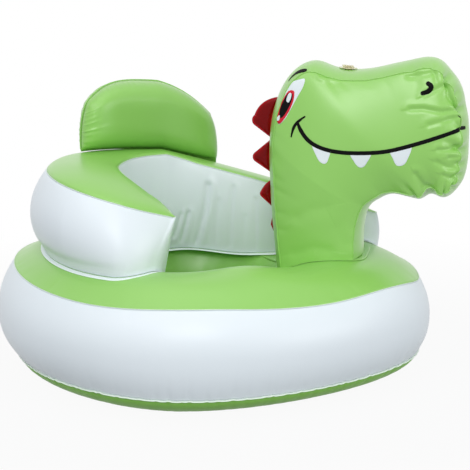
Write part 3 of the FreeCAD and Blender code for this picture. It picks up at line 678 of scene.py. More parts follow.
ARM_OFFSET, ARM_RADIUS, ARM_START, ARM_END = -52, 153, 255, 90
ARM_FRONT_RUN, ARM_FRONT_DRIFT, ARM_HALF_WIDTH = 229, 22, 52
ARM_INNER_BULGE, ARM_OUTER_BULGE, ARM_CROWN = 8, 22, 10
ARM_BACK_LEVEL, ARM_NEAR_DROP, ARM_NEAR_RUN, ARM_NEAR_POWER = 298, 27, 150, 2.2
ARM_FAR_DROP, ARM_FAR_RUN, ARM_FAR_POWER = 68, 300, 1.05
LEAN_POWER, BULGE_POWER, CROWN_POWER, TAPER_POWER = 1.5, 0.8, 0.6, 2.5
TIP_TAPER, TIP_SHIFT, TIP_TUCK, STACK_GAP = 150, 30, 12, 1.2
CANT, CANT_START, CANT_RUN = 24, 200, 240
END_WIDTH_SHARE = 0.35
# The top leans towards the seat where the ring turns: how far, about which place, over which run
TOP_LEAN, LEAN_PLACE, LEAN_RUN = 9, 195, 85
ARM_STEPS, TIP_STEPS, ARM_ROWS, SHEET_ROWS = 300, 16, 48, 42
# The weld with the base: how far its flange stands out and starts under the band, and its edge's height
ARM_FLANGE, FLANGE_SINK, FLANGE_RISE = 6.5, 0.9, 1.4
# How much the top draws in at both tips and how much lower its crown is there
TIP_NARROWING, NARROW_POWER, CROWN_SLIMMING = 0.97, 0.6, 0.6
ARM_TOP_PUCKERS = dict(seed=14, pitch=46, depth=0.7, reach=18, width=5)
ARM_FOOT_PUCKERS = dict(seed=16, pitch=34, depth=1.0, reach=16, width=4.5)
INNER_PUCKER_SHARE, CREASE_CALM = 0.35, 12
# Creases of the inner wall: a route given by places along the seam and heights, a depth and a width
INNER_CREASES = [
    ([(376, 4), (379, 15), (394, 71), (397, 104)], 3.4, 4.0), ([(353, 12), (365, 58)], 2.4, 3.2),
    ([(341, 20), (353, 56)], 1.8, 3.0), ([(431, 10), (437, 104)], 1.5, 3.4),
    ([(408, 14), (414, 82)], 1.0, 3.6), ([(473, 4), (473, 86)], 1.3, 3.4), ([(452, 6), (456, 60)], 0.8, 3.4),
    ([(326, 8), (331, 60)], 1.2, 3.4), ([(300, 10), (306, 80)], 1.3, 4.0), ([(262, 8), (270, 90)], 1.6, 4.0),
    ([(226, 6), (231, 84)], 1.2, 4.0), ([(190, 8), (196, 92)], 1.5, 4.0), ([(508, 6), (506, 66)], 1.0, 3.4),
]
# The long fold low on the near outer side: its height, depth and width, and its place and run along the tube
NEAR_FOLD = (12, 2.2, 7, 90, 110)
arm_middle = np.array([ARM_OFFSET, 0, 0])
arm_arc = math.radians(ARM_START - ARM_END) * ARM_RADIUS
arm_length = arm_arc + ARM_FRONT_RUN
arm_tip = ARM_HALF_WIDTH * math.sqrt(1 - END_WIDTH_SHARE ** 2)


def arm_line(distance):
    """Centre line of the tube, an arc and then straight, with its forward and outward directions."""
    travelled = np.clip(distance, 0, arm_arc)
    angle = math.radians(ARM_START) - travelled / ARM_RADIUS
    out = circle(angle)
    forward = np.cross(out, UP)
    run = np.maximum(0, distance - arm_arc) / ARM_FRONT_RUN
    point = arm_middle + out * ARM_RADIUS + forward * (distance - travelled)[..., None]
    return point - out * (ARM_FRONT_DRIFT * run ** 2)[..., None], forward, out


def tip_taper(distance):
    """From 0 along the tube to 1 at the very tips."""
    from_tip = np.minimum(distance, arm_length - distance) + arm_tip
    return np.maximum(0, 1 - from_tip / TIP_TAPER) ** TAPER_POWER


def arm_level(distance, across=0.0):
    """Level of the seams round the tube's top: lower at both ends, and lower outside on the far arm."""
    near = np.maximum(0, 1 - distance / ARM_NEAR_RUN)
    far = np.maximum(0, 1 - (arm_length - distance) / ARM_FAR_RUN)
    step = np.clip((distance - CANT_START) / CANT_RUN, 0, 1)
    cant = CANT * step ** 2 * (3 - 2 * step) * (1 - tip_taper(distance)) * (1 + across) / 2
    drop = ARM_NEAR_DROP * near ** ARM_NEAR_POWER + ARM_FAR_DROP * far ** ARM_FAR_POWER
    return ARM_BACK_LEVEL - drop - cant


def beyond_end(distance):
    """How far a place lies beyond the ends of the centre line."""
    return np.maximum(np.maximum(-distance, distance - arm_length), 0)


def arm_point(distance, across, rise=0.0):
    """Plan point: across runs from -1 inside to 1 outside, and the width closes in an arc at both tips.
    With rise 1, on the top, both tips draw in to a point that lies nearer the seat.
    With rise 0, at the foot, the near tip is shorter than on the top."""
    beyond = beyond_end(distance)
    width = ARM_HALF_WIDTH * np.sqrt(1 - (beyond / ARM_HALF_WIDTH) ** 2)
    taper = tip_taper(distance)
    tuck = TIP_TUCK * taper * (1 - rise) * (distance < arm_length / 2)
    point, forward, out = arm_line(distance + tuck)
    narrow = 1 - rise * (1 - (1 - TIP_NARROWING * taper) ** NARROW_POWER)
    tip = (ARM_HALF_WIDTH - arm_tip) * (beyond / arm_tip) ** 4 * np.where(distance > arm_length / 2, 1, -1)
    lean = TOP_LEAN * np.exp(-((distance - LEAN_PLACE) / LEAN_RUN) ** 2)
    place = width * across * narrow - (TIP_SHIFT * taper + lean) * rise
    return point + out * place[..., None] + forward * (tip * (1 - across ** 2))[..., None]


arm_stations = arm_length / 2 + (arm_length / 2 + arm_tip) * crowded(ARM_STEPS + 1)


def arm_loop():
    """Stations and across shares of the seam round the whole tube, anticlockwise."""
    ends = np.linspace(-1, 1, TIP_STEPS + 1)[1:-1]
    first, last = arm_stations[0], arm_stations[-1]
    stations = np.concatenate([arm_stations, np.full(len(ends), last), arm_stations[::-1],
                               np.full(len(ends), first)])
    across = np.concatenate([np.ones(ARM_STEPS + 1), -ends, -np.ones(ARM_STEPS + 1), ends])
    return stations[::-1], across[::-1]


loop_stations, loop_across = arm_loop()
loop_plan = arm_point(loop_stations, loop_across)
loop_top = arm_point(loop_stations, loop_across, 1.0)
loop_tangent = np.roll(loop_plan, -1, 0) - np.roll(loop_plan, 1, 0)
loop_out = unit(np.cross(loop_tangent, UP))
loop_low = base_height(loop_plan[:, 0], loop_plan[:, 1]) + LIFT + STACK_GAP + LIFT + FILM
loop_high = arm_level(loop_stations, loop_across)
loop_along, loop_length = loop_lengths(loop_plan)
inner_side = loop_across < -0.99


def arm_band():
    """White band round the tube: a sine bulge, most outside, with slanted creases on the inner wall."""
    share = rising(ARM_ROWS)
    from_tip = np.minimum(loop_stations - arm_stations[0], arm_stations[-1] - loop_stations)
    ease = np.minimum(1, from_tip / (2 * ARM_HALF_WIDTH))
    swell = ARM_INNER_BULGE * (0.5 + 0.5 * ease)
    swell = swell + (ARM_OUTER_BULGE - ARM_INNER_BULGE) * np.maximum(0, loop_across) * ease
    level = loop_low + (loop_high - loop_low) * share
    lean = (share ** LEAN_POWER)[..., None]
    bulge = (swell * np.sin(np.pi * share) ** BULGE_POWER)[..., None]
    grid = raised(loop_plan * (1 - lean) + loop_top * lean + loop_out * bulge, level)
    low, high = level - loop_low, loop_high - level
    dents, low_dents = (
        puckers(loop_along, away, *chance_puckers(0, loop_length, **measures), loop=loop_length)
        for away, measures in ((high, ARM_TOP_PUCKERS), (low, ARM_FOOT_PUCKERS)))
    dents += low_dents * np.where(inner_side, INNER_PUCKER_SHARE, 1)
    for route, depth, width in INNER_CREASES:
        dents += crease(loop_along + 0 * low, low, route, depth, width) * np.minimum(1, low / CREASE_CALM)
    height, depth, width, place, run = NEAR_FOLD
    outer_near = np.clip(1 - np.abs(loop_stations - place) / run, 0, 1) * (loop_across > 0.9)
    dents += depth * np.exp(-((low - height) / width) ** 2) * outer_near ** 0.5
    uneven = waves(grid, seed=17, height=0.8, wavelength=120, calm=low * high / ARM_CALM)
    return lifted(grid, uneven - dents, True)


def arm_sheet(above):
    """Green sheets of the tube: a crown on top, and the base's own shape below."""
    across = column(np.linspace(-1, 1, SHEET_ROWS)) * (1 if above else -1)
    point = arm_point(arm_stations[None, :] + 0 * across, across + 0 * arm_stations, float(above))
    if above:
        beyond = beyond_end(arm_stations) / arm_tip
        slim = 1 - CROWN_SLIMMING * tip_taper(arm_stations)
        crown = ARM_CROWN * slim * (1 - across ** 2) ** CROWN_POWER * (1 - beyond ** 4)
        level = arm_level(arm_stations, across) + LIFT + FILM + crown
        grid = raised(point, level)
        uneven = waves(grid, seed=18, height=0.8, wavelength=130)
        return lifted(grid, uneven * (1 - across ** 2) * (1 - beyond ** 2))
    return on_base(point, LIFT + STACK_GAP)


skin("arm_side_band_film", "arm_side_band", arm_band(), white_film,
     opening=valve_hole("arm_valve"))
skin("arm_top_film", "arm_top_sheet", arm_sheet(True), closed=False)
skin("arm_underside_film", "arm_bottom_sheet", arm_sheet(False), closed=False)
seam_bead("arm_top_weld", raised(loop_top, loop_high + LIFT), loop_out, weld_film,
          tilt=0.5, reach=0.8, thick=0.8)
flange("arm_foot_flange", raised(loop_plan, loop_low - FLANGE_SINK),
       on_base(loop_plan + loop_out * ARM_FLANGE, LIFT + FLANGE_RISE), flange_film,
       reach=ARM_FLANGE, thick=1.0)


# Headrest: one closed pillow

REST_RADIUS, REST_TURN, REST_HALF_WIDTH, REST_SAG = 162, math.radians(125), 113, 29
REST_RISE, REST_HALF_DEPTH, REST_NARROWING, REST_DROP = 106, 42, 0.10, 0.32
REST_ROWS, REST_COLUMNS, HEM_LIFT, FOOT_ROOM = 110, 190, 0.3, 0.25
PILLOW_POWER, PILLOW_ROUND, NARROWING_POWER, DROP_POWER = 4, 0.5, 3, 3
# Puckers at the pillow's foot and at its two ends, and where they fade away from the near end
REST_PUCKERS = dict(seed=21, pitch=12, depth=1.5, reach=17, width=2.6)
REST_SIDE_PUCKERS = dict(seed=22, pitch=9, depth=1.7, reach=19, width=2.4)
PUCKER_PLACE, PUCKER_RUN, LEAST_PUCKER = 0.15, 0.5, 0.12
rest_out = circle(np.array(REST_TURN))
rest_side = np.cross(rest_out, UP)


def ring_top(points):
    """Level of the ring's top sheet under points of its arc."""
    from_middle = points - arm_middle
    radius = np.hypot(from_middle[..., 0], from_middle[..., 1])
    angle = np.arctan2(from_middle[..., 1], from_middle[..., 0]) % (2 * np.pi)
    across = np.clip((radius - ARM_RADIUS) / ARM_HALF_WIDTH, -1, 1)
    station = (math.radians(ARM_START) - angle) * ARM_RADIUS
    return arm_level(station, across) + LIFT + FILM + ARM_CROWN * (1 - across ** 2) ** CROWN_POWER


def rest_sheet(side):
    """One side of the pillow: depth falls to the rim, with fine puckers that run in from it at the near end,
    and a hem at the foot that meets the ring's top."""
    up = column(np.linspace(-1, 1, REST_ROWS))
    along = crowded(REST_COLUMNS)
    narrow = 1 - REST_NARROWING * ((up + 1) / 2) ** NARROWING_POWER
    pillow = ((1 - along ** PILLOW_POWER) * (1 - up ** PILLOW_POWER)) ** PILLOW_ROUND
    foot_room = FOOT_ROOM * (1 - along ** PILLOW_POWER) * (1 - up) / 2
    depth = side * (REST_HALF_DEPTH * np.maximum(pillow, foot_room) + LIFT)
    plan = (arm_middle + rest_side * (along * narrow * REST_HALF_WIDTH)[..., None]
            + rest_out * (REST_RADIUS - REST_SAG * along ** 2 + depth)[..., None])
    angle = np.arctan2(plan[..., 1], plan[..., 0] - ARM_OFFSET) % (2 * np.pi)
    foot = arm_level((math.radians(ARM_START) - angle) * ARM_RADIUS) + ARM_CROWN + 3 * LIFT + 2 * FILM
    rise = REST_RISE * (1 - REST_DROP * np.abs(along) ** DROP_POWER)
    grid = raised(plan, foot + rise * (up + 1) / 2)
    rim_up = (1 - up) / 2 * REST_RISE
    rim_side = (1 - np.abs(along)) * REST_HALF_WIDTH
    near = np.clip((PUCKER_PLACE - along) / PUCKER_RUN, LEAST_PUCKER, 1)
    dents = puckers(along * REST_HALF_WIDTH, rim_up, *chance_puckers(-110, 110, **REST_PUCKERS))
    dents += puckers((up + 1) / 2 * REST_RISE, rim_side + 0 * up,
                     *chance_puckers(0, REST_RISE, **REST_SIDE_PUCKERS))
    uneven = waves(grid, seed=23, height=0.5, wavelength=80, calm=rim_up * rim_side / REST_CALM)
    grid = lifted(grid, uneven - dents * near, side=side)
    hem = raised(grid[0], ring_top(grid[0]) + HEM_LIFT)
    return np.concatenate([hem[None], grid])


rest_grids = {}
for side, sheet_name in ((-1, "front"), (1, "back")):
    rest_grids[side] = rest_sheet(side)
    skin("headrest_%s_film" % sheet_name, "headrest_%s_sheet" % sheet_name, rest_grids[side], closed=False,
         side=side)
rest_middle = (rest_grids[-1] + rest_grids[1]) / 2
rest_rim = np.concatenate([rest_middle[1:, 0], rest_middle[-1, 1:-1], rest_middle[:0:-1, -1]])
rest_heart = rest_middle[1:].mean((0, 1))
rest_away = unit(rest_rim - rest_heart - (rest_rim - rest_heart) @ rest_out[:, None] * rest_out)
bead("headrest_weld", rest_rim, rest_away, rest_out, green_film, reach=1.8, thick=1.1,
     closed=False)


# Neck and head

NECK_BACK, HEAD_REACH, HEAD_RISE, HEAD_FOOT = 86, 273, 298, 165
GUSSET_HALF_WIDTH, GUSSET_ROUND, GUSSET_POWER, PROFILE_STEP = 52, 11, 2.5, 0.01
CHEEK_BULGE, CHEEK_ROUND, CHEEK_POWER, FOOT_SWELL, FOOT_SHARE = 20, 0.8, 5, 0.35, 0.25
# Profile of the neck and head, from the nape's foot to the throat's, in shares of its reach and rise
HEAD_PROFILE_SHARES = [
    (0.022, 0.0), (-0.001, 0.200), (-0.022, 0.453), (-0.014, 0.690), (0.074, 0.902), (0.206, 0.972),
    (0.318, 0.943), (0.527, 0.944), (0.773, 0.997), (0.888, 0.955), (0.964, 0.850), (1.004, 0.674),
    (1.008, 0.527), (0.980, 0.425), (0.903, 0.357), (0.828, 0.362), (0.762, 0.338), (0.650, 0.346),
    (0.572, 0.314), (0.508, 0.252), (0.480, 0.1275), (0.480, 0.0),
]
# Its stations at the muzzle's top and at the chin, between which the side sheets end
MUZZLE_TOP, CHIN = 10, 13
# Grid counts of the strip round the profile, of the side sheets and of the profile's fine measure
STRIP_ROWS, STRIP_COLUMNS, CHEEK_ROWS, CHEEK_COLUMNS, FINE_COUNT = 61, 620, 150, 260, 2000
# Both films of a seam give way together: mostly outwards and a little aside, fading over the hold's distance
WAY_OUT, WAY_ASIDE, SEAM_HOLD, SEAM_CALM, LEAST_DISTANCE = 0.85, 0.5, 12, 15, 0.05
HEAD_PUCKERS = dict(seed=31, pitch=27, depth=0.9, reach=22, width=5)
profile_points = np.array([(NECK_BACK + x * HEAD_REACH, 0, HEAD_FOOT + z * HEAD_RISE)
                           for x, z in HEAD_PROFILE_SHARES])
profile_end = len(profile_points) - 1
fine_stations = np.linspace(0, profile_end, FINE_COUNT)
fine_lengths = length_along(smooth_curve(profile_points, fine_stations))


def along_profile(stations):
    """Length of the profile up to its stations."""
    return np.interp(stations, fine_stations, fine_lengths)


def profile_out(stations):
    """Outward directions of the profile."""
    ahead = smooth_curve(profile_points, np.minimum(np.asarray(stations) + PROFILE_STEP, profile_end))
    behind = smooth_curve(profile_points, np.maximum(np.asarray(stations) - PROFILE_STEP, 0))
    return unit(np.cross(ahead - behind, [0, 1.0, 0]))


def profile_at(stations, depth):
    """Profile points moved inwards by a depth."""
    return smooth_curve(profile_points, stations) - profile_out(stations) * np.asarray(depth)[..., None]


def standing(grid):
    """Seats the foot on the base and eases the points above it."""
    lift = base_height(grid[..., 0], grid[..., 1], 0) + 3 * LIFT - HEAD_FOOT
    ease = np.maximum(0, 1 - (grid[..., 2] - HEAD_FOOT) / HEAD_FOOT)
    return raised(grid, grid[..., 2] + lift * ease)


def seam_way(stations, side):
    """Direction in which a seam gives way: between the strip's own and the side sheet's."""
    return unit(WAY_OUT * profile_out(stations) + np.array([0, WAY_ASIDE, 0]) * side)


def given_way(normal, way, distance):
    """The film's own normal, which turns into the seam's way near the seam."""
    hold = np.exp(-distance / SEAM_HOLD)[..., None]
    return unit(normal * (1 - hold) + way * hold)


head_puckers = chance_puckers(0, fine_lengths[-1], **HEAD_PUCKERS)
# Places along the profile, depths, reaches and widths of the muzzle's deep dents, and of the bulges between
MUZZLE_DENTS = np.array([
    (457, 2.4, 34, 7), (492, 2.2, 28, 5), (521, 7.5, 26, 4.4), (547, 3.0, 20, 4.0), (571, 8.5, 30, 4.2),
    (599, 2.8, 20, 4.0), (628, 7.0, 26, 4.2), (648, 4.4, 20, 3.6), (664, 4.6, 22, 4.0), (686, 5.4, 24, 4.2),
    (708, 4.0, 18, 3.8), (729, 7.5, 26, 4.6), (754, 2.6, 22, 4.5),
]).T
MUZZLE_BULGES = np.array([
    (507, -1.5, 40, 10), (543, -2.2, 40, 12), (584, -2.4, 44, 12), (613, -2.0, 40, 12), (677, -1.6, 36, 10),
    (718, -1.6, 30, 8), (742, -1.5, 30, 9),
]).T


def head_dents(along, away):
    """Depth of the dents at a distance from a seam: they go right across it, so both films share them."""
    dents = puckers(along, away, *head_puckers, held=0)
    return dents + puckers(along, away, *MUZZLE_DENTS, held=0) + puckers(along, away, *MUZZLE_BULGES, held=0)


def gusset():
    """Long strip round the profile: rounded over its width, and dented with the side sheets at both seams."""
    across = column(np.linspace(-1, 1, STRIP_ROWS))
    stations = np.linspace(0, profile_end, STRIP_COLUMNS)
    everywhere = stations + 0 * across
    depth = GUSSET_ROUND * np.abs(across) ** GUSSET_POWER
    grid = profile_at(everywhere, depth + 0 * stations)
    grid[..., 1] = across * GUSSET_HALF_WIDTH
    grid = standing(grid)
    away = (1 - np.abs(across)) * GUSSET_HALF_WIDTH + 0 * stations
    normal = normals_of(grid)
    way = given_way(normal, seam_way(everywhere, np.sign(across)[..., None]), away)
    relief = waves(grid, seed=33, height=0.8, wavelength=90, calm=away / SEAM_CALM)
    return grid + normal * relief[..., None] - way * head_dents(along_profile(stations), away)[..., None]


def with_hem(grid, last=True):
    """Adds a column at the foot, where the film meets the base's top, and one at the other foot."""
    hems = [on_base(grid[:, k], LIFT + HEM_LIFT)[:, None] for k in (0, -1)]
    return np.concatenate([hems[0], grid] + ([hems[1]] if last else []), axis=1)


# Folds of the side sheets: a route in the profile's plane, a depth and a width
CROWN_FOLDS = [([(156, 440), (167, 439), (183, 439), (198, 442), (211, 447), (221, 450)], 2.6, 2.4)]
MUZZLE_FOLDS = [
    ([(347, 395), (321, 393), (298, 397), (280, 396)], 1.9, 3.2),
    ([(350, 387), (334, 383), (306, 375)], 1.3, 3.4), ([(338, 434), (320, 426), (300, 416)], 1.9, 3.6),
    ([(352, 346), (336, 341), (320, 341)], 1.7, 2.8), ([(352, 312), (334, 316), (318, 324)], 1.4, 3.6),
    ([(313, 276), (300, 290), (290, 306)], 1.8, 3.6), ([(320, 450), (299, 443), (276, 441)], 1.4, 4.4),
    ([(350, 330), (336, 330)], 1.1, 2.8), ([(346, 298), (328, 305)], 1.2, 3.2),
    ([(349, 364), (332, 361)], 1.0, 3.2),
]
NECK_FOLDS = [
    ([(128, 240), (146, 252), (166, 256)], 0.8, 9), ([(124, 186), (150, 196), (172, 192)], 0.9, 8),
    ([(196, 200), (184, 224)], 0.5, 9),
]
# How far from a seam each family of folds has its full depth
FOLD_CALMS = [(CROWN_FOLDS, 4), (MUZZLE_FOLDS, 5), (NECK_FOLDS, SEAM_CALM)]


def cheek(side):
    """Side sheet: a grid between the seam's four borders that swells out in the middle.
    Each seam's dents reach it in proportion to the inverse square of the distance from that seam."""
    rail = np.linspace(0, 1, CHEEK_COLUMNS)
    w = rising(CHEEK_ROWS)
    upper_stations = rail * MUZZLE_TOP
    lower_stations = profile_end + (CHIN - profile_end) * rail
    front_stations = MUZZLE_TOP + (CHIN - MUZZLE_TOP) * w[:, 0]
    upper, lower, front = (profile_at(stations, GUSSET_ROUND + 0 * stations)
                           for stations in (upper_stations, lower_stations, front_stations))
    front = front[:, None]
    a = rail[None, :, None]
    v = w[..., None]
    foot = upper[0] * (1 - v) + lower[0] * v
    grid = (upper * (1 - v) + lower * v + foot * (1 - a) + front * a
            - upper[0] * ((1 - a) * (1 - v)) - lower[0] * ((1 - a) * v)
            - upper[-1] * (a * (1 - v)) - lower[-1] * (a * v))
    ease = FOOT_SWELL + (1 - FOOT_SWELL) * np.minimum(1, rail / FOOT_SHARE)
    swell = np.sin(np.pi * w) ** CHEEK_ROUND * (1 - rail ** CHEEK_POWER) * ease
    away = np.stack([np.linalg.norm(grid - border, axis=-1) for border in (upper, lower, front)])
    grid[..., 1] = side * (GUSSET_HALF_WIDTH + LIFT + CHEEK_BULGE * swell)
    grid = standing(grid)
    normal = normals_of(grid) * side
    share = 1 / (away + LEAST_DISTANCE) ** 2
    share /= share.sum(0)
    moved = np.zeros(grid.shape)
    for stations, distance, part in zip(
            (upper_stations[None], lower_stations[None], front_stations[:, None]), away, share):
        way = given_way(normal, seam_way(stations, side), distance)
        moved += way * (head_dents(along_profile(stations), distance) * part)[..., None]
    nearest = away.min(0)
    folds = np.zeros(nearest.shape)
    for family, calm in FOLD_CALMS:
        for route, depth, width in family:
            folds += crease(grid[..., 0], grid[..., 2], route, depth, width) * np.minimum(1, nearest / calm)
    relief = waves(grid, seed=34, height=0.8, wavelength=90, calm=nearest / SEAM_CALM) - folds
    return grid + normal * relief[..., None] - moved


def seam_line(side):
    """The welded seam of one side sheet, dents and all."""
    stations = np.linspace(0, profile_end, STRIP_COLUMNS)
    line = profile_at(stations, GUSSET_ROUND + 0 * stations)
    line[:, 1] = side * (GUSSET_HALF_WIDTH + LIFT / 2)
    line = standing(line)
    way = seam_way(stations, side)
    return line - way * head_dents(along_profile(stations), 0 * stations)[:, None], way


strip = gusset()
cheeks = {}
skin("head_gusset_film", "head_gusset", with_hem(strip), closed=False, opening=valve_hole("head_valve"))
for side, word in ((1, "left"), (-1, "right")):
    cheeks[side] = cheek(side)
    skin("head_%s_film" % word, "head_%s_sheet" % word, with_hem(cheeks[side], False), closed=False,
         side=side)
    line, way = seam_line(side)
    bead("head_%s_weld" % word, line, way, unit(np.cross(np.gradient(line, axis=0), way)), green_film,
         reach=1.3, thick=1.2, closed=False)

# The weld of the neck's foot: a rounded oblong with its flange
FOOT_POWER, FOOT_STEPS, FOOT_FLANGE, FOOT_RISE = 5, 240, 8, 0.7
foot_x = (HEAD_PROFILE_SHARES[0][0] + HEAD_PROFILE_SHARES[-1][0]) / 2
foot_middle = NECK_BACK + foot_x * HEAD_REACH
foot_half = (HEAD_PROFILE_SHARES[-1][0] - HEAD_PROFILE_SHARES[0][0]) / 2 * HEAD_REACH
foot_turn = np.linspace(0, 2 * np.pi, FOOT_STEPS, endpoint=False)
foot_way = np.stack([np.cos(foot_turn), np.sin(foot_turn)], -1)
foot_round = (np.abs(foot_way) ** FOOT_POWER).sum(1) ** (-1 / FOOT_POWER)
foot_line = np.stack([foot_middle + foot_half * foot_round * foot_way[:, 0],
                      (GUSSET_HALF_WIDTH + 1) * foot_round * foot_way[:, 1], 0 * foot_turn], -1)
foot_edge = foot_line + unit(foot_line - [foot_middle, 0, 0]) * FOOT_FLANGE
flange("neck_foot_flange", on_base(foot_line, LIFT + FOOT_RISE), on_base(foot_edge, LIFT + FOOT_RISE),
       green_film, reach=FOOT_FLANGE, thick=0.8)


# Printed face: thin sheets of ink laid on both side sheets

INK = 0.1
EYE_WHITE = [(134, 434), (132, 423), (125, 410), (116, 393), (108, 379), (99, 370), (95, 376), (95, 390),
             (99, 405), (106, 418), (114, 428), (123, 432)]
IRIS = [(120, 415), (119, 404), (114, 391), (107, 379), (100, 371), (96, 373), (96, 382), (99, 394),
        (105, 407), (111, 416), (117, 418)]
PUPIL = [(117, 413), (117, 406), (113, 395), (106, 383), (101, 379), (99, 383), (100, 392), (105, 404),
         (111, 413)]
GLINTS = [[(116, 413), (115, 406), (112, 401), (109, 403), (110, 409), (113, 414)],
          [(100, 382), (99, 376), (96, 375), (96, 379), (98, 382)]]
TEETH = [[(148, 345), (153, 330), (159, 321), (166, 319), (170, 325), (171, 338)],
         [(201, 335), (206, 322), (212, 315), (218, 315), (223, 321), (228, 336)],
         [(256, 340), (259, 328), (264, 319), (272, 319), (278, 326), (283, 347)]]
# On the strip between the side sheets: places along the profile and distances from the seam
BROW = [(272, 14), (280, 14.5), (289.5, 13), (298, 9.5), (305, 6)]
SMILE_END = [(597, -1), (598, 6), (599, 14)]
MOUTH_CORNER = [(136, 383), (126, 375), (120, 366), (117, 354)]
SMILE = [(126, 374), (130, 365), (139, 353), (152, 344), (170, 338), (193, 335), (217, 335), (242, 337),
         (266, 342), (293, 350), (317, 358), (340, 366), (358, 373)]
NOSTRIL = [(303, 431), (307, 427), (304, 421), (296, 418)]
# Points round a shape and rings in it; points of a line's route, points across it, its pitch and least steps
SHAPE_POINTS, SHAPE_RINGS, ROUTE_POINTS, LINE_ROWS, LINE_PITCH, LINE_STEPS = 96, 12, 400, 7, 2, 24
# Search for a place on a side sheet: the net's pitch, the steps, a face's least area and the longest step
NET_PITCH, SEARCH_STEPS, LEAST_AREA, LONGEST_STEP = 6, 14, 0.05, 5


def closed_curve(points, count):
    """Smooth closed line: at each point it runs parallel to the line between the two neighbours."""
    points = np.asarray(points, float)
    place = np.linspace(0, len(points), count, endpoint=False)
    low = place.astype(int)
    far = (place - low)[:, None]
    before, here, after, beyond = (np.take(points, low + k, axis=0, mode="wrap") for k in (-1, 0, 1, 2))
    return here + 0.5 * far * (after - before + far * (
        2 * before - 5 * here + 4 * after - beyond + far * (3 * (here - after) + beyond - before)))


def patch(grid, row, col):
    """Point of a grid between its nodes, with its steps along the two directions."""
    i = np.clip(row.astype(int), 0, grid.shape[0] - 2)
    j = np.clip(col.astype(int), 0, grid.shape[1] - 2)
    down, right = (row - i)[:, None], (col - j)[:, None]
    a, b, c, d = grid[i, j], grid[i, j + 1], grid[i + 1, j], grid[i + 1, j + 1]
    return ((a * (1 - right) + b * right) * (1 - down) + (c * (1 - right) + d * right) * down,
            (c - a) * (1 - right) + (d - b) * right, (b - a) * (1 - down) + (d - c) * down)


def laid(grid, side, row, col, height, like):
    """Points of a grid at a height over it, in the arrangement of the places that they were found for."""
    normal = unit(patch(normals_of(grid) * side, row, col)[0])
    return (patch(grid, row, col)[0] + normal * height).reshape(*like.shape[:-1], 3)


def on_cheek(side, spots, height):
    """Lifts places of the profile's plane on to a side sheet: from the nearest node of a coarse net, Newton's
    steps go to the place itself, and a place beyond the seam stays on the seam."""
    grid = cheeks[side]
    net = grid[::NET_PITCH, ::NET_PITCH][..., [0, 2]]
    flat = spots.reshape(-1, 2)
    nearest = ((flat[:, None] - net.reshape(1, -1, 2)) ** 2).sum(-1).argmin(1)
    row = nearest // net.shape[1] * float(NET_PITCH)
    col = nearest % net.shape[1] * float(NET_PITCH)
    for _ in range(SEARCH_STEPS):
        point, down, right = patch(grid, row, col)
        miss = flat - point[:, [0, 2]]
        area = down[:, 0] * right[:, 2] - down[:, 2] * right[:, 0]
        area = np.where(np.abs(area) < LEAST_AREA, LEAST_AREA * np.where(area < 0, -1, 1), area)
        row_step = (miss[:, 0] * right[:, 2] - miss[:, 1] * right[:, 0]) / area
        col_step = (down[:, 0] * miss[:, 1] - down[:, 2] * miss[:, 0]) / area
        row = np.clip(row + np.clip(row_step, -LONGEST_STEP, LONGEST_STEP), 0, grid.shape[0] - 1)
        col = np.clip(col + np.clip(col_step, -LONGEST_STEP, LONGEST_STEP), 0, grid.shape[1] - 1)
    return laid(grid, side, row, col, height, spots)


def on_strip(side, spots, height):
    """Lifts places, given along the profile and across from the seam, on to the strip."""
    flat = spots.reshape(-1, 2)
    station = np.interp(flat[:, 0], fine_lengths, fine_stations)
    col = np.clip(station / profile_end * (strip.shape[1] - 1), 0, strip.shape[1] - 1)
    share = 1 - np.maximum(flat[:, 1], 0) / GUSSET_HALF_WIDTH
    row = (1 + side * share) / 2 * (strip.shape[0] - 1)
    return laid(strip, 1, row, col, height, spots)


def filled(name, side, outline, height, ink):
    """Printed shape: rings that shrink from a closed outline to its middle."""
    edge = closed_curve(outline, SHAPE_POINTS)
    heart = edge.mean(0)
    spots = heart + (edge - heart) * np.linspace(0, 1, SHAPE_RINGS)[:, None, None]
    turn = np.sum(edge[:, 0] * np.roll(edge[:, 1], -1) - np.roll(edge[:, 0], -1) * edge[:, 1])
    piece = grid_piece(name, on_cheek(side, spots, height), True, side if turn > 0 else -side)
    dress(piece, ink, thickness=INK)


def stroke(name, side, route, halves, height, lay):
    """Printed line with round ends: its half width runs through the values given at its points."""
    fine = np.linspace(0, len(route) - 1, ROUTE_POINTS)
    line = smooth_curve(route, fine)
    lengths = length_along(line)
    half = np.interp(fine, np.arange(len(route)), halves)
    even = np.linspace(0, 1, LINE_STEPS + int(lengths[-1] / LINE_PITCH))
    run = (0.5 - 0.5 * np.cos(np.pi * even)) * 0.5 + even * 0.5
    run = run * (lengths[-1] + half[0] + half[-1]) - half[0]
    place = np.clip(run, 0, lengths[-1])
    beyond = run - place
    centre = np.stack([np.interp(place, lengths, line[:, k]) for k in (0, 1)], -1)
    ahead = unit(np.stack([np.interp(place, lengths, np.gradient(line[:, k])) for k in (0, 1)], -1))
    width = np.interp(place, lengths, half)
    width = width * np.sqrt(np.maximum(0, 1 - (beyond / width) ** 2))
    left = np.stack([-ahead[:, 1], ahead[:, 0]], -1)
    spots = (centre + ahead * beyond[:, None]
             + left * width[:, None] * np.linspace(-1, 1, LINE_ROWS)[:, None, None])
    piece = grid_piece(name, lay(side, spots, height), side=side if lay is on_strip else -side)
    dress(piece, ink_black, thickness=INK)


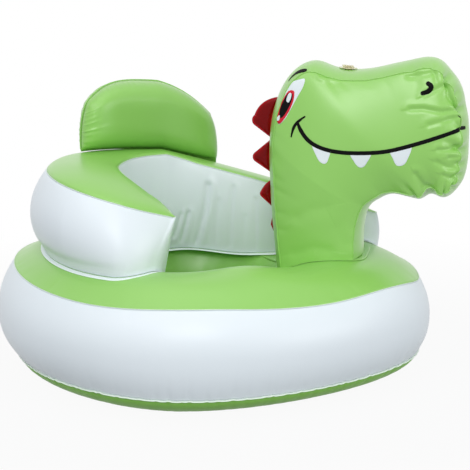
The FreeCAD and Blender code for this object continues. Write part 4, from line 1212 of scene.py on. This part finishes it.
# Name, outline, height over the film, ink and slot
PRINTED_SHAPES = [
    ("eye_white_%s", EYE_WHITE, 0.25, ink_white, "white_film"), ("iris_%s", IRIS, 0.45, ink_red, "red_film"),
    ("pupil_%s", PUPIL, 0.65, ink_black, "green_film"),
]
PRINTED_SHAPES += [("glint_%%s_%d" % number, outline, 0.85, ink_white, "white_film")
                   for number, outline in enumerate(GLINTS, 1)]
PRINTED_SHAPES += [("tooth_%%s_%d" % number, outline, 0.25, ink_white, "white_film")
                   for number, outline in enumerate(TEETH, 1)]
# Name, route, half widths at its points, height over the film, and where it lies
PRINTED_LINES = [
    ("brow_%s", BROW, [0.9, 2.4, 3.8, 4.6, 4.2], 0.3, on_strip),
    ("smile_end_%s", SMILE_END, [2.8, 2.8, 2.4], 0.3, on_strip),
    ("mouth_corner_%s", MOUTH_CORNER, [1.0, 2.0, 2.0, 0.9], 0.35, on_cheek),
    ("smile_%s", SMILE, [1.6] + [2.8] * 12, 0.5, on_cheek),
    ("nostril_%s", NOSTRIL, [3.0, 3.5, 3.5, 3.0], 0.35, on_cheek),
]
for side, word in ((1, "left"), (-1, "right")):
    for name, outline, height, ink, slot in PRINTED_SHAPES:
        filled(name % word, side, outline, height, ink)
    for name, route, halves, height, lay in PRINTED_LINES:
        stroke(name % word, side, route, halves, height, lay)


# Red fins in the nape: thin lobes with a flat welded rim

FIN_ROUND, FIN_RIM = 0.31, 2.2
# Half thickness of the rim, what the puffed inside adds, over which distance it rises and with what power
FIN_FLAT, FIN_PUFF, PUFF_RUN, PUFF_POWER, EDGE_START, RING_POWER = 0.45, 1.7, 4, 1.3, 0.15, 1.8
FIN_RINGS, ROOT_POINTS, EDGE_POINTS, TIP_POINTS = 14, 24, 20, 24
# The nape's last station on the profile, and the count of its fine stations
NAPE_END, NAPE_COUNT = 5, 600
# Shares of the head's height: the root's ends, the tip's level, its reach and the upper edge's bow
FIN_SHARES = [
    (0.597, 0.795, 0.680, 0.100, 0.016), (0.440, 0.587, 0.506, 0.088, 0.0),
    (0.285, 0.409, 0.345, 0.061, 0.004), (0.161, 0.255, 0.208, 0.017, 0.001),
]
nape_stations = np.linspace(0, NAPE_END, NAPE_COUNT)
nape_levels = smooth_curve(profile_points, nape_stations)[:, 2]


def nape_at(shares):
    """Places on the nape at shares of the head's height, just off the film."""
    stations = np.interp(HEAD_FOOT + np.asarray(shares) * HEAD_RISE, nape_levels, nape_stations)
    return standing(profile_at(stations, np.full(stations.shape, -1.5 * LIFT)))[:, [0, 2]]


def touching(start, hub, radius, side):
    """Where a line from start touches the circle round hub."""
    towards = hub - start
    reach = np.hypot(*towards)
    angle = math.atan2(towards[1], towards[0]) + side * math.asin(radius / reach)
    return start + np.array([math.cos(angle), math.sin(angle)]) * math.sqrt(reach ** 2 - radius ** 2)


def fin_outline(bottom, top, tip, reach, bow):
    """Outline of a lobe: along the nape, a bowed upper edge, a round tip and a straight lower edge."""
    root = nape_at(np.linspace(bottom, top, ROOT_POINTS))
    radius = reach * HEAD_RISE * FIN_ROUND
    hub = nape_at([tip])[0] - [reach * HEAD_RISE - radius, 0]
    shoulder = touching(root[-1], hub, radius, -1)
    throat = touching(root[0], hub, radius, 1)
    share = rising(EDGE_POINTS)
    upper = root[-1] * (1 - share) + shoulder * share
    upper += np.array([-1, 1]) * (bow * HEAD_RISE * 4 * share * (1 - share))
    first = math.atan2(*(shoulder - hub)[::-1])
    last = math.atan2(*(throat - hub)[::-1]) % (2 * math.pi)
    turn = np.linspace(first, last, TIP_POINTS)
    tip_arc = hub + radius * np.stack([np.cos(turn), np.sin(turn)], -1)
    lower = throat * (1 - share) + root[0] * share
    return np.concatenate([root[:-1], upper[:-1], tip_arc[:-1], lower[:-1]])


def fin(name, shares):
    """Lobe: flat at its rim and a little puffed inside, the two faces joined round the edge."""
    edge = fin_outline(*shares)
    heart = edge.mean(0)
    ring = 1 - np.linspace(1, 0, FIN_RINGS) ** RING_POWER
    share = column(np.concatenate([ring, ring[::-1]]))
    face = column(np.repeat([-1, 1], FIN_RINGS))
    plan = heart + (edge - heart) * share[..., None]
    inset = (1 - share) * np.linalg.norm(edge - heart, axis=1)
    within = np.maximum(0, inset - FIN_RIM)
    puff = FIN_FLAT + FIN_PUFF * (1 - np.exp(-(within / PUFF_RUN) ** PUFF_POWER))
    puff = puff * np.sqrt(np.minimum(1, EDGE_START + inset))
    grid = np.stack([plan[..., 0], face * puff, plan[..., 1]], -1)
    piece = grid_piece(name, grid, True, -1, marks=inset)
    dress(piece, fin_film, stands_for=[name], thickness=0)


for number, shares in enumerate(FIN_SHARES, 1):
    fin("crest_fin_%d" % number, shares)


# Air valves: each piece is turned about the valve's axis, and rides on its own body

TURN_STEPS, BEND_POINTS = 96, 5
# Section of each part, as radii and levels, and the radius of its rounded corners
VALVE_PARTS = {
    "flange": ([(6.4, 1.0), (6.4, 1.6), (12.4, 1.6), (13, 1.3), (13, 0.4), (6.4, 0.4), (6.4, 1.0)], 0.12),
    "stem": ([(4, -6), (4, 3.2), (8.6, 3.2), (8.6, 2.0), (5.6, 2.0), (5.6, -12.6), (4, -12.6), (4, -6)],
             0.15),
    "plug": ([(0, 4.6), (3.0, 4.6), (5.4, 4.6), (5.4, 3.6), (3.85, 3.6), (2.4, -1.8), (0, -1.8)], 0.15),
    "flap": ([(0, -13.0), (5.2, -13.0), (5.2, -13.8), (0, -13.8)], 0.15),
}
# The plug's plate: its cap, the radius from which rows belong to it, and the reach and half width of its ends
CAP_RADIUS, PLATE_START, STRAP_REACH, TAB_REACH, STRAP_HALF_WIDTH = 5.4, 3.95, 7.2, 9, 2


def softened(corners, radius):
    """A line of corners with each inner corner cut round."""
    corners = np.asarray(corners, float)
    middle = corners[1:-1]
    before = unit(corners[:-2] - middle)
    after = unit(corners[2:] - middle)
    share = np.linspace(0, 1, BEND_POINTS)[None, :, None]
    bends = ((middle + before * radius)[:, None] * (1 - share) ** 2
             + middle[:, None] * (2 * share * (1 - share)) + (middle + after * radius)[:, None] * share ** 2)
    return np.concatenate([corners[:1], bends.reshape(-1, 2), corners[-1:]])


def plug_plate(angle):
    """How far the plug's plate reaches: a cap with the strap towards the hinge and the tab away from it."""
    side = np.maximum(np.abs(np.sin(angle)), 1e-6)
    ends = [np.minimum(reach / np.maximum(way, 1e-6), STRAP_HALF_WIDTH / side) * (way > 0)
            for reach, way in ((STRAP_REACH, np.cos(angle)), (TAB_REACH, -np.cos(angle)))]
    return np.maximum(CAP_RADIUS, np.maximum(*ends))


def turned(valve, part):
    """Turned piece of a valve; the widest rows of the plug's section reach as far as its plate does."""
    place, out, hinge = (np.array(v, float) for v in VALVES[valve])
    angle = np.linspace(0, 2 * np.pi, TURN_STEPS, endpoint=False)
    section = softened(*VALVE_PARTS[part])
    reach = section[:, :1] + 0 * angle
    if part == "plug":
        reach = np.where(reach > PLATE_START, reach - CAP_RADIUS + plug_plate(angle), reach)
    across = np.cross(out, hinge)
    grid = (place + hinge * (reach * np.cos(angle))[..., None] + across * (reach * np.sin(angle))[..., None]
            + out * section[:, 1:, None])
    node = "%s_%s" % (valve, part)
    dress(grid_piece(node, grid, True), clear_valve, body=SEAT if part == "flange" else node,
          stands_for=[node], thickness=0)


for valve in VALVES:
    for part in VALVE_PARTS:
        turned(valve, part)


# Floor, backdrop and light

WHITE = (1, 1, 1, 1)
FLOOR_COLOUR, FLOOR_REACH = (0.30, 0.31, 0.32, 1), 6.0
# The floor melts into the backdrop: its white share up to the start, and the start's and the end's distances
FLOOR_WHITENESS, FADE_START, FADE_END = 0.94, 0.45, 0.95
SKY_COLOUR, SKY_STRENGTH = (0.95, 0.97, 1, 1), 0.60
# Lamps: place, aim, width, height and power
LAMPS = {
    "key_light": ((0.3, -2.3, 1.5), (0, 0, 0.25), 1.2, 0.9, 20),
    "fill_light": ((2.1, -1.0, 0.7), (0, 0, 0.3), 1.0, 0.8, 9),
    "side_light": ((-1.2, -1.8, 2.1), (0, 0, 0.25), 1.2, 1.2, 8),
    "top_light": ((-0.2, -0.6, 2.4), (0, 0, 0.1), 2.0, 2.0, 9),
}


def floor():
    """Wide floor that looks white: its shadow shows faintly, and further out it melts into the backdrop."""
    mesh = bpy.data.meshes.new("studio_floor")
    corners = [(x * FLOOR_REACH, y * FLOOR_REACH, 0) for x, y in ((-1, -1), (1, -1), (1, 1), (-1, 1))]
    mesh.from_pydata(corners, [], [(0, 1, 2, 3)])
    piece = bpy.data.objects.new("studio_floor", mesh)
    bpy.context.scene.collection.objects.link(piece)
    material, tree, shader = new_material("studio_floor")
    set_inputs(tree, shader, {"Base Color": FLOOR_COLOUR, "Roughness": 0.8})
    glow = add_node(tree, "ShaderNodeEmission", {"Color": WHITE})
    place = add_node(tree, "ShaderNodeTexCoord", {}).outputs["Object"]
    distance = add_node(tree, "ShaderNodeVectorMath", {0: place}, operation="LENGTH")
    fade = add_node(tree, "ShaderNodeMapRange",
                    {"Value": distance.outputs["Value"], "From Min": FADE_START, "From Max": FADE_END,
                     "To Min": FLOOR_WHITENESS, "To Max": 1})
    share = add_node(tree, "ShaderNodeMath", {0: seen_share(tree), 1: fade.outputs["Result"]},
                     operation="MULTIPLY")
    set_surface(tree, "Material Output", share.outputs["Value"], shader, glow)
    mesh.materials.append(material)


def area_light(name, place, aim, width, height, power):
    """Rectangular lamp that faces its aim."""
    data = bpy.data.lights.new(name, "AREA")
    data.shape = "RECTANGLE"
    data.size, data.size_y = width, height
    data.energy = power
    lamp = bpy.data.objects.new(name, data)
    lamp.location = place
    lamp.rotation_euler = (Vector(aim) - Vector(place)).to_track_quat("-Z", "Y").to_euler()
    bpy.context.scene.collection.objects.link(lamp)


floor()
for name, values in LAMPS.items():
    area_light(name, *values)

world = bpy.data.worlds.new("studio")
bpy.context.scene.world = world
world.use_nodes = True
sky = world.node_tree.nodes["Background"]
set_inputs(world.node_tree, sky, {"Color": SKY_COLOUR, "Strength": SKY_STRENGTH})
plain = add_node(world.node_tree, "ShaderNodeBackground", {"Color": WHITE})
set_surface(world.node_tree, "World Output", seen_share(world.node_tree), sky, plain)

bpy.context.scene.view_settings.view_transform = "Standard"

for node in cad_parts.values():
    if not node.hide_render:
        node.data.materials.clear()
        node.data.materials.append(green_film)
